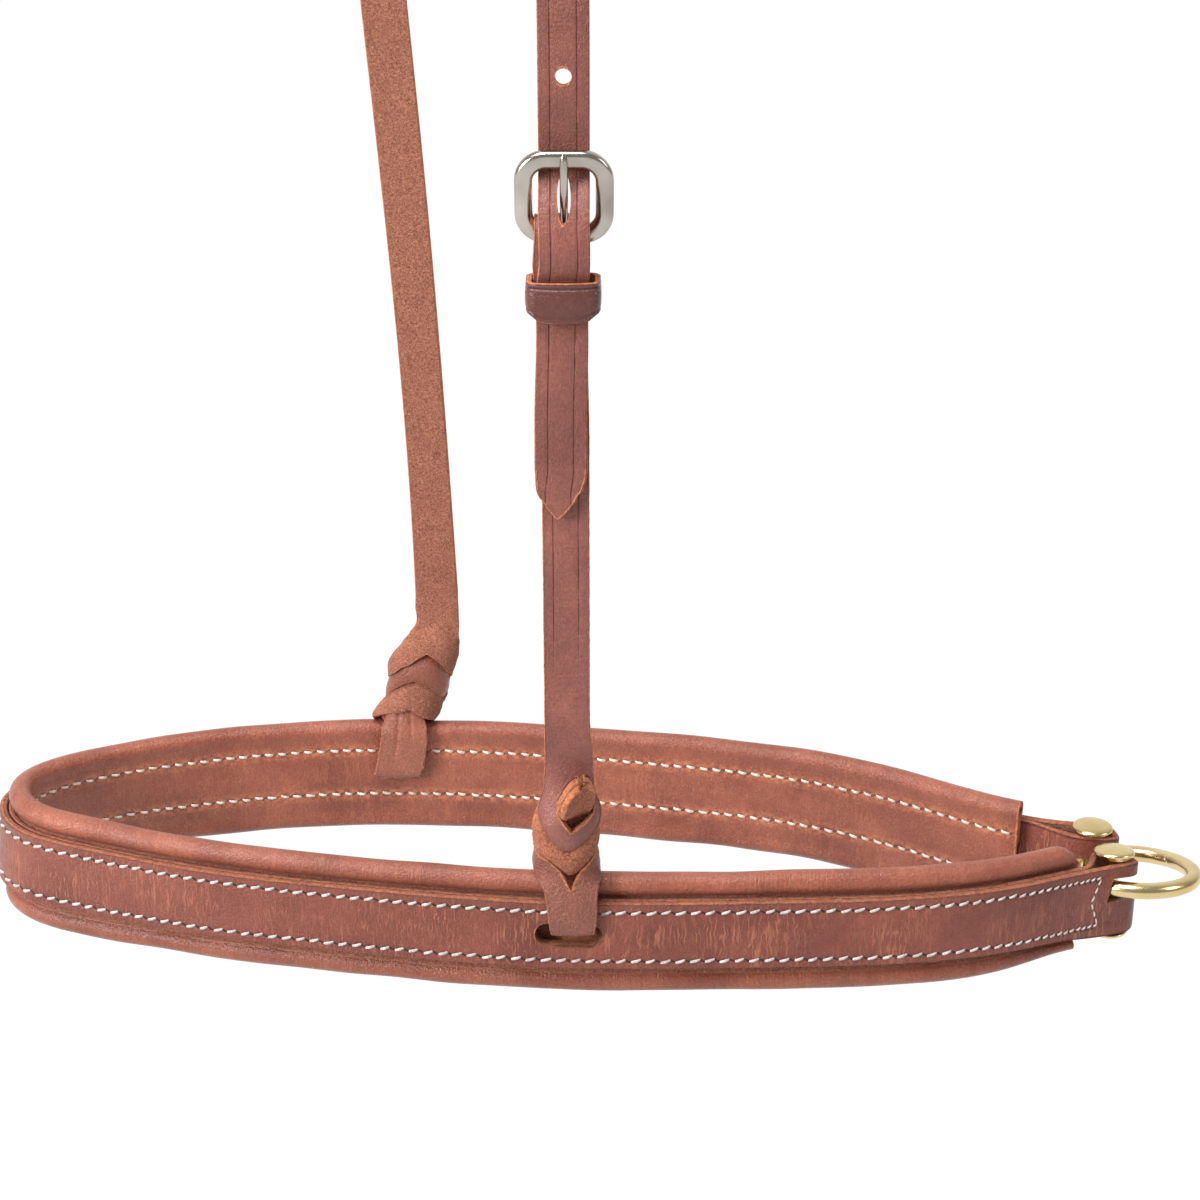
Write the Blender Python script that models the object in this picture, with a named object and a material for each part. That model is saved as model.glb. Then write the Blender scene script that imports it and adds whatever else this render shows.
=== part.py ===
"""Leather noseband on its hanger, in metres, +Z up.

The origin is the middle of the hanger's crown seat, the flat underside of the strap where it hangs on the
head. +X points to the ring, +Y is the far side of the band and -Y is the near side with the buckle.
Heights called h below are measured from the bottom of the band.
"""

import math

import bmesh
import bpy
import numpy as np
from mathutils import Matrix, Vector

MM = 0.001
GAP = 0.3 * MM

# The band: an outer strap sewn to a lining whose two long edges are rolled round cords.
BAND_HEIGHT = 33.0 * MM
CROWN_HEIGHT = 472.0 * MM
ROLL_RADIUS = 2.9 * MM
CORE_RADIUS = 1.2 * MM
LINING_THICKNESS = 1.8 * MM
FLANGE_THICKNESS = 1.4 * MM
FLANGE_DEPTH = 6.5 * MM
FLANGE_TURN = 14.0
STRAP_HEIGHT = 18.6 * MM
STRAP_MIDDLE = BAND_HEIGHT / 2 + 1.3 * MM
STRAP_THICKNESS = 2.0 * MM
BACKING_THICKNESS = 1.5 * MM
EDGE_BEVEL = 0.5 * MM
ROW_SPACING = 13.6 * MM
THREAD_WIDTH = 0.8 * MM
THREAD_THICKNESS = 0.5 * MM
TOE_LEAN = math.radians(7.0)
TOE_REACH = 95.0 * MM

# Where the rolled lining's curve passes in plan, from the near end round the toe to the far end.
BAND_PLAN = (
    (167.2, -18.3), (154.5, -23.2), (139.5, -29.5), (117.5, -35.0), (73.5, -38.0), (23.5, -38.0),
    (-25.5, -31.0), (-67.5, -21.5), (-98.5, -10.5), (-118.5, 2.0), (-122.5, 16.0), (-109.5, 31.0),
    (-83.5, 42.0), (-42.5, 50.0), (0.5, 49.5), (49.5, 42.0), (91.5, 31.0), (123.5, 13.5),
    (142.5, 0.8), (152.5, -3.0), (165.5, -4.9),
)

# The folded ends of the outer strap, which hold the two posts and the ring.
FOLD_INSIDE = 2.9 * MM
FOLD_BOTTOM = STRAP_MIDDLE - 11.0 * MM
FOLD_TOP = STRAP_MIDDLE + 9.1 * MM
FOLD_CORNER = 1.4 * MM
FOLD_FLARE = 22.0 * MM
RETURN_LENGTH = 34.0 * MM
NEAR_LINING_END = 12.6 * MM
FAR_LINING_END = 21.0 * MM
POST_ROOM = 3.4 * MM
NEAR_POST_SETBACK = 1.1 * MM
POST_INSET = 0.7 * MM
FAR_POST_SETBACK = 2.2 * MM

POST_RADIUS = 1.6 * MM
POST_BORE = 1.1 * MM
SCREW_RADIUS = 0.8 * MM
HEAD_RADIUS = 5.15 * MM
HEAD_RISE = 2.3 * MM
HEAD_RIM = 0.4 * MM
HEAD_STANDOFF = 0.9 * MM
FOOT_STANDOFF = 0.6 * MM
SCREW_SLOT_WIDTH = 1.0 * MM
SCREW_SLOT_DEPTH = 0.8 * MM

RING_INSIDE = 26.6 * MM
RING_WIRE = 4.2 * MM
RING_PLACE = (173.6, -9.8)
RING_HEIGHT = STRAP_MIDDLE - 0.2 * MM
RING_TILT = math.radians(-10.0)
NOTCH_HEIGHT = 6.6 * MM
NOTCH_ROOM = 0.5 * MM

# The hanger: a crown strap with its billet, and a cheek strap with the buckle, each looped through a slot.
SLOT_LENGTH = 16.8 * MM
SLOT_HEIGHT = 6.2 * MM
NEAR_SLOT_X = 26.9 * MM
FAR_SLOT_X = -22.5 * MM
HANGER_THICKNESS = 2.2 * MM
HANGER_BEVEL = 0.35 * MM
LOOP_WIDTH = 12.0 * MM
CHEEK_WIDTH = 10.8 * MM
CROWN_WIDTH = 11.2 * MM
BILLET_WIDTH = 12.3 * MM
CROWN_HALF_RUN = 18.0 * MM
CROWN_BEND = 20.5 * MM
CROWN_TURN = math.radians(38.8)
CHEEK_X = 26.7 * MM
CHEEK_Y = -42.5 * MM
FAR_STRAP_FOOT = (-11.4, 48.2)
FAR_STRAP_BODY = (-15.3, 42.9, 182.0)
STRAP_FOOT = 24.0 * MM
WIDE_ABOVE = 40.0 * MM
PLAIN_ABOVE = 85.0 * MM
NEAR_TWIST = (25.5, -36.0, 330.0)
NEAR_STRAIGHT = (26.7, -40.3, 240.0)
BILLET_TIP = 128.0 * MM
BILLET_TAPER = 8.0 * MM
BILLET_TIP_WIDTH = 3.0 * MM
HOLE_PITCH = 25.4 * MM
HOLE_COUNT = 5
HOLE_RADIUS = 1.8 * MM
HOLE_REACH = 12.0 * MM
TONGUE_HOLE_LENGTH = 9.0 * MM
TONGUE_HOLE_WIDTH = 3.0 * MM

# The buckle and the keeper.
BAR_HEIGHT = 192.0 * MM
BUCKLE_WIDTH = 21.7 * MM
BUCKLE_RISE = 17.0 * MM
BUCKLE_LEAN = 3.5 * MM
BUCKLE_CORNER = 5.0 * MM
FRAME_HALF_WIDTH = 2.0 * MM
FRAME_HALF_DEPTH = 1.5 * MM
TONGUE_RADIUS = 0.9 * MM
TONGUE_BOW = 0.35 * MM
TONGUE_SLOT = 3.2 * MM
CHAPE_LENGTH = 32.0 * MM
CHAPE_CLOSED = 6.6 * MM
CHAPE_PINCH = 5.0 * MM
CHAPE_PINCH_OFF = 0.75 * MM
BILLET_SLACK = 1.4 * MM
CROSSING_RISE = 8.8 * MM
KEEPER_WIDTH = 16.3 * MM
KEEPER_HEIGHT = 10.7 * MM
KEEPER_BOTTOM = 172.4 * MM
KEEPER_WALL = 1.6 * MM
KEEPER_CORNER = 1.2 * MM
KEEPER_ROOM = 0.4 * MM
STITCH_HEIGHT = 185.2 * MM
STITCH_SPAN = 6.4 * MM
STITCH_RADIUS = 0.3 * MM

# How finely curves are cut into flats.
LONGEST_FLAT = 26.0 * MM
LARGEST_TURN = math.radians(8.0)
LONGEST_STRAP_FLAT = 45.0 * MM
LARGEST_STRAP_TURN = math.radians(12.0)
LARGEST_LOOP_TURN = math.radians(20.0)

RUSSET = ("russet_leather", (0.330, 0.120, 0.072, 1.0), 0.50, 0.0)
LINING = ("lining_leather", (0.430, 0.180, 0.115, 1.0), 0.55, 0.0)
HANGER = ("hanger_leather", (0.300, 0.125, 0.098, 1.0), 0.48, 0.0)
CORD = ("core_cord", (0.640, 0.560, 0.450, 1.0), 0.85, 0.0)
THREAD = ("waxed_thread", (0.800, 0.760, 0.700, 1.0), 0.70, 0.0)
BRASS = ("satin_brass", (0.720, 0.560, 0.300, 1.0), 0.30, 1.0)
NICKEL = ("satin_nickel", (0.520, 0.500, 0.470, 1.0), 0.32, 1.0)


def height(h):
    """World Z of a height measured from the bottom of the band."""
    return h - CROWN_HEIGHT


def material(spec):
    name, colour, roughness, metallic = spec
    found = bpy.data.materials.get(name)
    if found:
        return found
    made = bpy.data.materials.new(name)
    made.use_nodes = True
    shader = made.node_tree.nodes["Principled BSDF"]
    shader.inputs["Base Color"].default_value = colour
    shader.inputs["Roughness"].default_value = roughness
    shader.inputs["Metallic"].default_value = metallic
    return made


def add_mesh(name, mesh_data, finish, origin=(0.0, 0.0, 0.0)):
    """A smooth-shaded object from a bmesh in world space, its origin moved to the given point."""
    bmesh.ops.recalc_face_normals(mesh_data, faces=mesh_data.faces)
    bmesh.ops.translate(mesh_data, verts=mesh_data.verts, vec=-Vector(origin))
    mesh = bpy.data.meshes.new(name)
    mesh_data.to_mesh(mesh)
    mesh_data.free()
    mesh.shade_smooth()
    mesh.set_sharp_from_angle(angle=math.radians(40.0))
    mesh.materials.append(material(finish))
    made = bpy.data.objects.new(name, mesh)
    made.location = origin
    bpy.context.scene.collection.objects.link(made)
    return made


def helper(made):
    """Marks an object as a cutter or a joined-in shape, left out of the model."""
    made.hide_render = True
    made.display_type = "WIRE"
    return made


def boolean(made, tool, operation):
    bpy.context.view_layer.update()
    step = made.modifiers.new(f"{operation} {tool.name}", "BOOLEAN")
    step.operation = operation
    step.solver = "EXACT"
    step.object = helper(tool)


def loft(rings, closed=False):
    """A closed body through rings of points, capped at both ends unless the rings close on themselves."""
    body = bmesh.new()
    rows = [[body.verts.new(point) for point in ring] for ring in rings]
    pairs = list(zip(rows, rows[1:]))
    if closed:
        pairs.append((rows[-1], rows[0]))
    for low, high in pairs:
        for i in range(len(low)):
            j = (i + 1) % len(low)
            body.faces.new((low[i], low[j], high[j], high[i]))
    if not closed:
        body.faces.new(rows[0])
        body.faces.new(rows[-1])
    return body


def spline(rows):
    """A smooth curve through rows whose first values are a place, as a function of its length."""
    rows = np.array(rows, float)
    places = rows[:, : min(3, rows.shape[1])]
    knots = np.concatenate([[0.0], np.cumsum(np.linalg.norm(np.diff(places, axis=0), axis=1))])
    step = np.diff(knots)
    slope = np.diff(rows, axis=0) / step[:, None]
    count = len(rows)
    system = np.zeros((count, count))
    right = np.zeros_like(rows)
    system[0, 0] = system[-1, -1] = 1.0
    for i in range(1, count - 1):
        system[i, i - 1 : i + 2] = step[i - 1], 2 * (step[i - 1] + step[i]), step[i]
        right[i] = 6 * (slope[i] - slope[i - 1])
    bend = np.linalg.solve(system, right)

    def at(s):
        i = int(np.clip(np.searchsorted(knots, s) - 1, 0, count - 2))
        a = knots[i + 1] - s
        b = s - knots[i]
        cubic = (bend[i] * a**3 + bend[i + 1] * b**3) / (6 * step[i])
        start = rows[i] / step[i] - bend[i] * step[i] / 6
        end = rows[i + 1] / step[i] - bend[i + 1] * step[i] / 6
        return cubic + start * a + end * b

    return at, knots[-1]


def stations(at, start, end, turn=LARGEST_TURN, longest=LONGEST_FLAT, places=3):
    """Lengths along a curve, closer together where it bends more."""
    count = max(2, int((end - start) / (0.5 * MM)))
    fine = np.linspace(start, end, count + 1)
    points = np.array([at(s)[:places] for s in fine])
    runs = np.diff(points, axis=0)
    lengths = np.linalg.norm(runs, axis=1)
    heading = runs / lengths[:, None]
    bends = np.arccos(np.clip((heading[:-1] * heading[1:]).sum(axis=1), -1.0, 1.0))
    cost = lengths / longest
    cost[1:] += bends / turn
    total = np.concatenate([[0.0], np.cumsum(cost)])
    pieces = max(1, math.ceil(total[-1]))
    return np.interp(np.linspace(0.0, total[-1], pieces + 1), total, fine)


# The band's plan curve, and the flats that every layer of the band shares.
PLAN, PLAN_LENGTH = spline([(x * MM, y * MM) for x, y in BAND_PLAN])
BAND_STATIONS = stations(PLAN, 0.0, PLAN_LENGTH, places=2)
BAND_PLACES = np.array([PLAN(s) for s in BAND_STATIONS])


def station_normals():
    """The outward normal at each station, halfway between those of the flats that meet there."""
    along = np.diff(BAND_PLACES, axis=0)
    along /= np.linalg.norm(along, axis=1)[:, None]
    both = np.concatenate([along[:1], along[:-1] + along[1:], along[-1:]])
    both /= np.linalg.norm(both, axis=1)[:, None]
    return np.column_stack([-both[:, 1], both[:, 0]])


BAND_NORMALS = station_normals()


def plan_point(s):
    """Place and outward normal on the band's plan, which runs on straight past its two ends."""
    inside = min(max(s, 0.0), PLAN_LENGTH)
    place = np.array([np.interp(inside, BAND_STATIONS, BAND_PLACES[:, axis]) for axis in (0, 1)])
    normal = np.array([np.interp(inside, BAND_STATIONS, BAND_NORMALS[:, axis]) for axis in (0, 1)])
    normal /= np.linalg.norm(normal)
    return place + np.array((normal[1], -normal[0])) * (s - inside), normal


def band_lengths(start, end):
    """The shared stations between two lengths, and the two lengths themselves."""
    inner = [s for s in BAND_STATIONS if start + GAP < s < end - GAP]
    return [start, *inner, end]


def length_at_x(x, near):
    """How far along the band the near or far side passes a given X."""
    lengths = np.linspace(0.0, PLAN_LENGTH, 2001)
    places = np.array([plan_point(s)[0] for s in lengths])
    toe = int(places[:, 0].argmin())
    side = slice(0, toe) if near else slice(toe, len(lengths))
    nearest = int(np.abs(places[side, 0] - x).argmin())
    return lengths[side][nearest]


TOE_LENGTH = length_at_x(-1.0, near=False)
NEAR_SLOT = length_at_x(NEAR_SLOT_X, near=True)
FAR_SLOT = length_at_x(FAR_SLOT_X, near=False)


def lean(s):
    """How far the band leans out at its foot, only round the toe."""
    away = abs(s - TOE_LENGTH) / TOE_REACH
    return TOE_LEAN * math.cos(min(away, 1.0) * math.pi / 2) ** 2


def beside_band(s, n, h):
    """The world point a distance n outside the plan curve at height h."""
    place, normal = plan_point(s)
    n = n - math.tan(lean(s)) * (h - BAND_HEIGHT / 2)
    return Vector((place[0] + normal[0] * n, place[1] + normal[1] * n, height(h)))


# Layers across the band, counted outwards from the plan curve.
LINING_FACE = -2.4 * MM
LINING_BACK = LINING_FACE + LINING_THICKNESS
FLANGE_FACE = LINING_BACK + GAP
FLANGE_BACK = FLANGE_FACE + FLANGE_THICKNESS
BACKING_FACE = FLANGE_BACK + GAP
BACKING_BACK = BACKING_FACE + BACKING_THICKNESS
STRAP_FACE = BACKING_BACK + GAP
STRAP_OUTSIDE = STRAP_FACE + STRAP_THICKNESS
STRAP_BOTTOM = STRAP_MIDDLE - STRAP_HEIGHT / 2
STRAP_TOP = STRAP_MIDDLE + STRAP_HEIGHT / 2
ROWS = (STRAP_MIDDLE + ROW_SPACING / 2, STRAP_MIDDLE - ROW_SPACING / 2)
FOLD_RADIUS = FOLD_INSIDE + STRAP_THICKNESS / 2
FOLD_CENTRE = STRAP_OUTSIDE - STRAP_THICKNESS / 2 - FOLD_RADIUS


def blend(t):
    """Eases from 0 to 1 as t goes from 0 to 1."""
    t = min(max(t, 0.0), 1.0)
    return t * t * (3 - 2 * t)


def swept_band(name, section, start, end, finish):
    """A band-long piece with one section, given as points (n, h)."""
    rings = [[beside_band(s, n, h) for n, h in section] for s in band_lengths(start, end)]
    return add_mesh(name, loft(rings), finish)


def wall_section(low, high, bottom, top, bevel):
    """A tall thin rectangle with its four corners taken off, as points (n, h)."""
    return (
        (low + bevel, bottom), (high - bevel, bottom), (high, bottom + bevel), (high, top - bevel),
        (high - bevel, top), (low + bevel, top), (low, top - bevel), (low, bottom + bevel),
    )


def arc(centre, radius, first, last, count):
    """Points (n, h) round a circle, angles in degrees from the outward direction."""
    return [
        (centre[0] + radius * math.cos(angle), centre[1] + radius * math.sin(angle))
        for angle in np.radians(np.linspace(first, last, count))
    ]


def lining_section():
    """One sheet whose two edges wrap round the cords and turn in behind the outer strap."""
    hollow = CORE_RADIUS + GAP
    roll = (0.0, BAND_HEIGHT - ROLL_RADIUS)
    flange_start = -math.degrees(math.asin(min(1.0, (ROLL_RADIUS - GAP) / ROLL_RADIUS)))
    upper = [(LINING_FACE, roll[1] - ROLL_RADIUS * 0.56)]
    upper += arc(roll, ROLL_RADIUS, 180.0, flange_start + FLANGE_TURN, 8)
    upper += [(FLANGE_BACK, roll[1] - ROLL_RADIUS), (FLANGE_BACK, roll[1] - ROLL_RADIUS - FLANGE_DEPTH)]
    upper += [(FLANGE_FACE, roll[1] - ROLL_RADIUS - FLANGE_DEPTH), (FLANGE_FACE, roll[1] - hollow)]
    upper += arc(roll, hollow, -75.0, 225.0, 7)
    upper += [(LINING_BACK, roll[1] - hollow - GAP)]
    lower = [(n, BAND_HEIGHT - h) for n, h in reversed(upper)]
    return upper + lower


def make_lining():
    """The lining, from just behind the near fold to just behind the far one."""
    end = PLAN_LENGTH - FAR_LINING_END
    made = swept_band("lining", lining_section(), NEAR_LINING_END, end, LINING)
    cut_slots(made)
    return made


def make_roll_core(name, h):
    """A cord inside one rolled edge of the lining."""
    section = arc((0.0, h), CORE_RADIUS, 0.0, 300.0, 6)
    start = NEAR_LINING_END + GAP
    return swept_band(name, section, start, PLAN_LENGTH - FAR_LINING_END - GAP, CORD)


def make_backing():
    """The second ply behind the outer strap, between the two turned-back ends."""
    section = wall_section(BACKING_FACE, BACKING_BACK, STRAP_BOTTOM, STRAP_TOP - GAP, EDGE_BEVEL)
    start = RETURN_LENGTH + GAP
    made = swept_band("backing_strap", section, start, PLAN_LENGTH - start, RUSSET)
    cut_slots(made)
    return made


def slot_cutter(name, s):
    """A round-ended prism through every layer of the band."""
    place, normal = plan_point(s)
    along = Vector((normal[1], -normal[0], 0.0))
    outward = Vector((normal[0], normal[1], 0.0))
    centre = Vector((place[0], place[1], height(STRAP_MIDDLE)))
    radius = SLOT_HEIGHT / 2
    reach = SLOT_LENGTH / 2 - radius
    outline = [(reach + radius * math.cos(a), radius * math.sin(a)) for a in np.radians(range(-90, 91, 30))]
    outline += [(-x, -z) for x, z in outline]
    depth = 3 * STRAP_OUTSIDE
    rings = [
        [centre + along * x + Vector((0.0, 0.0, z)) + outward * side for x, z in outline]
        for side in (-depth, depth)
    ]
    return add_mesh(name, loft(rings), RUSSET)


def cut_slots(made):
    for name, s in (("near_slot", NEAR_SLOT), ("far_slot", FAR_SLOT)):
        tool = bpy.data.objects.get(name) or slot_cutter(name, s)
        boolean(made, tool, "DIFFERENCE")


def end_length(from_end, near):
    """A length along the plan curve, counted from the near or the far fold."""
    return from_end if near else PLAN_LENGTH - from_end


def fold_rows(near):
    """One folded end: rows of plan place, thickness and distance, from the return's end to the outside."""
    rows = []
    room = POST_ROOM
    settled = (NEAR_LINING_END if near else FAR_LINING_END) - 4 * GAP
    straight = [end_length(s, near) for s in band_lengths(settled, PLAN_LENGTH - settled)]
    straight = sorted((s for s in straight if s < RETURN_LENGTH - GAP), reverse=True)
    sewn = (BACKING_FACE + BACKING_BACK) / 2
    apart = FOLD_CENTRE - FOLD_RADIUS
    for away in (RETURN_LENGTH, *straight, *np.linspace(settled, room, 6)[1:]):
        ease = blend((away - room) / (settled - room))
        n = apart + (sewn - apart) * ease
        thickness = STRAP_THICKNESS + (BACKING_THICKNESS - STRAP_THICKNESS) * ease
        rows.append((*beside_band(end_length(away, near), n, 0.0)[:2], thickness, away))
    centre = beside_band(end_length(0.0, near), FOLD_CENTRE, 0.0)
    place, normal = plan_point(end_length(0.0, near))
    outward = Vector((normal[0], normal[1], 0.0))
    onward = Vector((normal[1], -normal[0], 0.0)) * (-1.0 if near else 1.0)
    for angle in np.radians(np.arange(-90.0, 91.0, 22.5)):
        point = centre + (onward * math.cos(angle) + outward * math.sin(angle)) * FOLD_RADIUS
        rows.append((point.x, point.y, STRAP_THICKNESS, -math.cos(angle) * FOLD_RADIUS))
    return rows


def strap_edges(away):
    """Bottom and top of the outer strap at a distance from its fold, where its corners round off."""
    flare = 1.0 - blend((away - POST_ROOM) / FOLD_FLARE)
    bottom = STRAP_BOTTOM + (FOLD_BOTTOM - STRAP_BOTTOM) * flare
    top = STRAP_TOP + (FOLD_TOP - STRAP_TOP) * flare
    corner = FOLD_CORNER * (max(0.0, -away) / FOLD_RADIUS) ** 3
    return bottom + corner, top - corner


def make_outer_strap():
    """The outer strap: one length folded back at both ends, with a notch for the ring in each fold."""
    rows = fold_rows(near=True)
    middle = FOLD_CENTRE + FOLD_RADIUS
    for s in band_lengths(POST_ROOM, PLAN_LENGTH - POST_ROOM):
        away = min(s, PLAN_LENGTH - s)
        place, normal = plan_point(s)
        rows.append((*(place + normal * middle), STRAP_THICKNESS, away, s))
    rows += reversed(fold_rows(near=False))
    places = np.array([row[:2] for row in rows])
    rings = []
    for i, row in enumerate(rows):
        ahead = places[min(i + 1, len(rows) - 1)] - places[i]
        behind = places[i] - places[max(i - 1, 0)]
        along = sum(v / np.linalg.norm(v) for v in (ahead, behind) if np.linalg.norm(v) > 0)
        along /= np.linalg.norm(along)
        normal = np.array((-along[1], along[0]))
        bottom, top = strap_edges(row[3])
        # The return is held under the top edge of the backing it meets.
        if row[2] < STRAP_THICKNESS:
            top -= GAP
        half = row[2] / 2
        tilt = math.tan(lean(row[4])) if len(row) > 4 else 0.0
        ring = []
        for n, h in wall_section(-half, half, bottom, top, EDGE_BEVEL):
            n -= tilt * (h - BAND_HEIGHT / 2)
            ring.append((row[0] + normal[0] * n, row[1] + normal[1] * n, height(h)))
        rings.append(ring)
    made = add_mesh("outer_strap", loft(rings), RUSSET)
    cut_slots(made)
    boolean(made, notch_cutter(), "DIFFERENCE")
    return made


def ring_frame():
    """Centre of the ring, its axis, and two directions in its plane."""
    centre = Vector((RING_PLACE[0] * MM, RING_PLACE[1] * MM, height(RING_HEIGHT)))
    turn = Matrix.Rotation(RING_TILT, 3, "X")
    return centre, turn @ Vector((0, 0, 1)), turn @ Vector((1, 0, 0)), turn @ Vector((0, 1, 0))


RING_RADIUS = (RING_INSIDE + RING_WIRE) / 2


def notch_cutter():
    """A disc the size of the ring and its running room, which opens both folds at once."""
    centre, axis, right, far = ring_frame()
    radius = RING_RADIUS + RING_WIRE / 2 + NOTCH_ROOM
    angles = np.radians(np.arange(0.0, 360.0, 7.5))
    rings = [
        [centre + (right * math.cos(a) + far * math.sin(a)) * radius + axis * side for a in angles]
        for side in (-NOTCH_HEIGHT / 2, NOTCH_HEIGHT / 2)
    ]
    return add_mesh("ring_notch", loft(rings), RUSSET)


def make_ring():
    """The tie-down ring: closed round wire through both notches, with the posts inside it."""
    centre, axis, right, far = ring_frame()
    rings = []
    for turn in np.radians(np.arange(0.0, 360.0, 9.0)):
        outward = right * math.cos(turn) + far * math.sin(turn)
        middle = centre + outward * RING_RADIUS
        rings.append([
            middle + (outward * math.cos(a) + axis * math.sin(a)) * RING_WIRE / 2
            for a in np.radians(np.arange(0.0, 360.0, 30.0))
        ])
    return add_mesh("ring", loft(rings, closed=True), BRASS, ring_hinge()[0])


def post_place(near):
    """Plan place of a post, in the middle of its fold."""
    setback = NEAR_POST_SETBACK if near else FAR_POST_SETBACK
    return beside_band(end_length(setback, near), FOLD_CENTRE - POST_INSET, 0.0).xy


def ring_hinge():
    """A point and a direction on the line through both posts, in the ring's plane."""
    centre, axis, right, far = ring_frame()
    on_plane = []
    for near in (True, False):
        place = post_place(near)
        drop = (axis.x * (place.x - centre.x) + axis.y * (place.y - centre.y)) / axis.z
        on_plane.append(Vector((place.x, place.y, centre.z - drop)))
    return (on_plane[0] + on_plane[1]) / 2, (on_plane[1] - on_plane[0]).normalized()


def turned(name, place, profile, finish, count=16):
    """A round body about a vertical line, from a profile of (radius, height) whose ends lie on the line."""
    body = bmesh.new()
    rows = []
    for radius, z in profile:
        if radius == 0.0:
            rows.append([body.verts.new((place.x, place.y, z))])
            continue
        rows.append([
            body.verts.new((place.x + radius * math.cos(a), place.y + radius * math.sin(a), z))
            for a in np.linspace(0.0, 2 * math.pi, count, endpoint=False)
        ])
    for low, high in zip(rows, rows[1:]):
        for i in range(count):
            j = (i + 1) % count
            corners = [low[i % len(low)], low[j % len(low)], high[j % len(high)], high[i % len(high)]]
            body.faces.new(list(dict.fromkeys(corners)))
    return add_mesh(name, body, finish, (place.x, place.y, height(STRAP_MIDDLE)))


def dome(under, up):
    """Profile of a domed head from its rim to its crown; up is 1 or -1."""
    rim = under + up * HEAD_RIM
    steps = np.linspace(0.0, 1.0, 5)[1:]
    curve = [(HEAD_RADIUS * math.sqrt(1.0 - t * t), rim + up * HEAD_RISE * t) for t in steps[:-1]]
    return [(HEAD_RADIUS, under), (HEAD_RADIUS, rim), *curve, (0.0, rim + up * HEAD_RISE)]


def make_post(name, near):
    """A dome-headed barrel post and the dome-headed screw that closes it from below."""
    place = post_place(near)
    under = height(FOLD_TOP + HEAD_STANDOFF)
    foot = height(FOLD_BOTTOM - FOOT_STANDOFF)
    bore_top = under - POST_RADIUS
    barrel = [(0.0, bore_top), (POST_BORE, bore_top), (POST_BORE, foot + GAP), (POST_RADIUS, foot + GAP)]
    turned(name, place, barrel + [(POST_RADIUS, under)] + dome(under, 1), BRASS)
    shank = [(0.0, bore_top - GAP), (SCREW_RADIUS, bore_top - GAP), (SCREW_RADIUS, foot)]
    screw = turned(f"{name}_screw", place, shank + dome(foot, -1), BRASS)
    low = foot - HEAD_RIM - HEAD_RISE
    half = Vector((HEAD_RADIUS, SCREW_SLOT_WIDTH / 2, 0.0))
    corners = [(-half.x, -half.y), (half.x, -half.y), (half.x, half.y), (-half.x, half.y)]
    rings = [
        [Vector((place.x + x, place.y + y, z)) for x, y in corners]
        for z in (low - SCREW_SLOT_DEPTH, low + SCREW_SLOT_DEPTH)
    ]
    slot = add_mesh(f"{name}_screw_slot", loft(rings), BRASS)
    boolean(screw, slot, "DIFFERENCE")


def make_row(name, face, outward, h, start, end):
    """One row of stitching thread, laid along the band just off a leather face."""
    near_side = face + outward * GAP
    far_side = near_side + outward * THREAD_THICKNESS
    half = THREAD_WIDTH / 2
    section = ((near_side, h - half), (far_side, h - half), (far_side, h + half), (near_side, h + half))
    return swept_band(name, section, start, end, THREAD)


NEAR_CHEVRON = 5.3 * MM
FAR_CHEVRON = 8.6 * MM
CHEVRON_POINT = 2.0 * MM


def make_chevron(name, near):
    """The stitches that close the two plies beside a fold, in the shape of an arrow head."""
    half = THREAD_WIDTH / 2
    lift = THREAD_THICKNESS
    reach = ROW_SPACING / 2 - THREAD_WIDTH / 2 - GAP
    start = NEAR_CHEVRON if near else FAR_CHEVRON
    corners = ((start, reach), (start + CHEVRON_POINT, 0.0), (start, -reach))
    rings = []
    for away, rise in corners:
        rings.append([
            beside_band(end_length(away + side, near), STRAP_OUTSIDE + GAP + off, STRAP_MIDDLE + rise)
            for side, off in ((-half, 0.0), (half, 0.0), (half, lift), (-half, lift))
        ])
    return add_mesh(name, loft(rings), THREAD)


def make_stitching():
    """Two rows outside and two inside, and the arrow-head stitches at both folds."""
    upper, lower = ROWS
    outer_start = NEAR_CHEVRON - THREAD_WIDTH
    outer_end = PLAN_LENGTH - FAR_CHEVRON + THREAD_WIDTH
    inner_start = NEAR_LINING_END + GAP
    inner_end = PLAN_LENGTH - FAR_LINING_END - GAP
    for name, h in (("outer_upper_stitching", upper), ("outer_lower_stitching", lower)):
        make_row(name, STRAP_OUTSIDE, 1, h, outer_start, outer_end)
    for name, h in (("inner_upper_stitching", upper), ("inner_lower_stitching", lower)):
        make_row(name, LINING_FACE, -1, h, inner_start, inner_end)
    make_chevron("near_end_stitching", near=True)
    make_chevron("far_end_stitching", near=False)


def strap_ring(place, along, across, width, thickness):
    """A flat strap's section at one place: a rectangle with its corners taken off."""
    along = along.normalized()
    across = (across - along * across.dot(along)).normalized()
    grain = along.cross(across)
    w = width / 2
    t = thickness / 2
    b = HANGER_BEVEL
    outline = (
        (b - w, -t), (w - b, -t), (w, b - t), (w, t - b),
        (w - b, t), (b - w, t), (-w, t - b), (-w, b - t),
    )
    return [place + across * x + grain * z for x, z in outline]


def strap_body(rows, flat_run=None):
    """A flat strap through rows of x, y, z, width, thickness and turn about the vertical."""
    places = [Vector(row[:3]) for row in rows]
    rings = []
    for i, row in enumerate(rows):
        ahead = places[min(i + 1, len(rows) - 1)] - places[i]
        behind = places[i] - places[max(i - 1, 0)]
        along = ahead.normalized() + behind.normalized()
        if flat_run and i in flat_run:
            along = places[flat_run[1]] - places[flat_run[0]]
        across = Vector((math.cos(row[5]), math.sin(row[5]), 0.0))
        rings.append(strap_ring(places[i], along, across, row[3], row[4]))
    return loft(rings)


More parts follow.
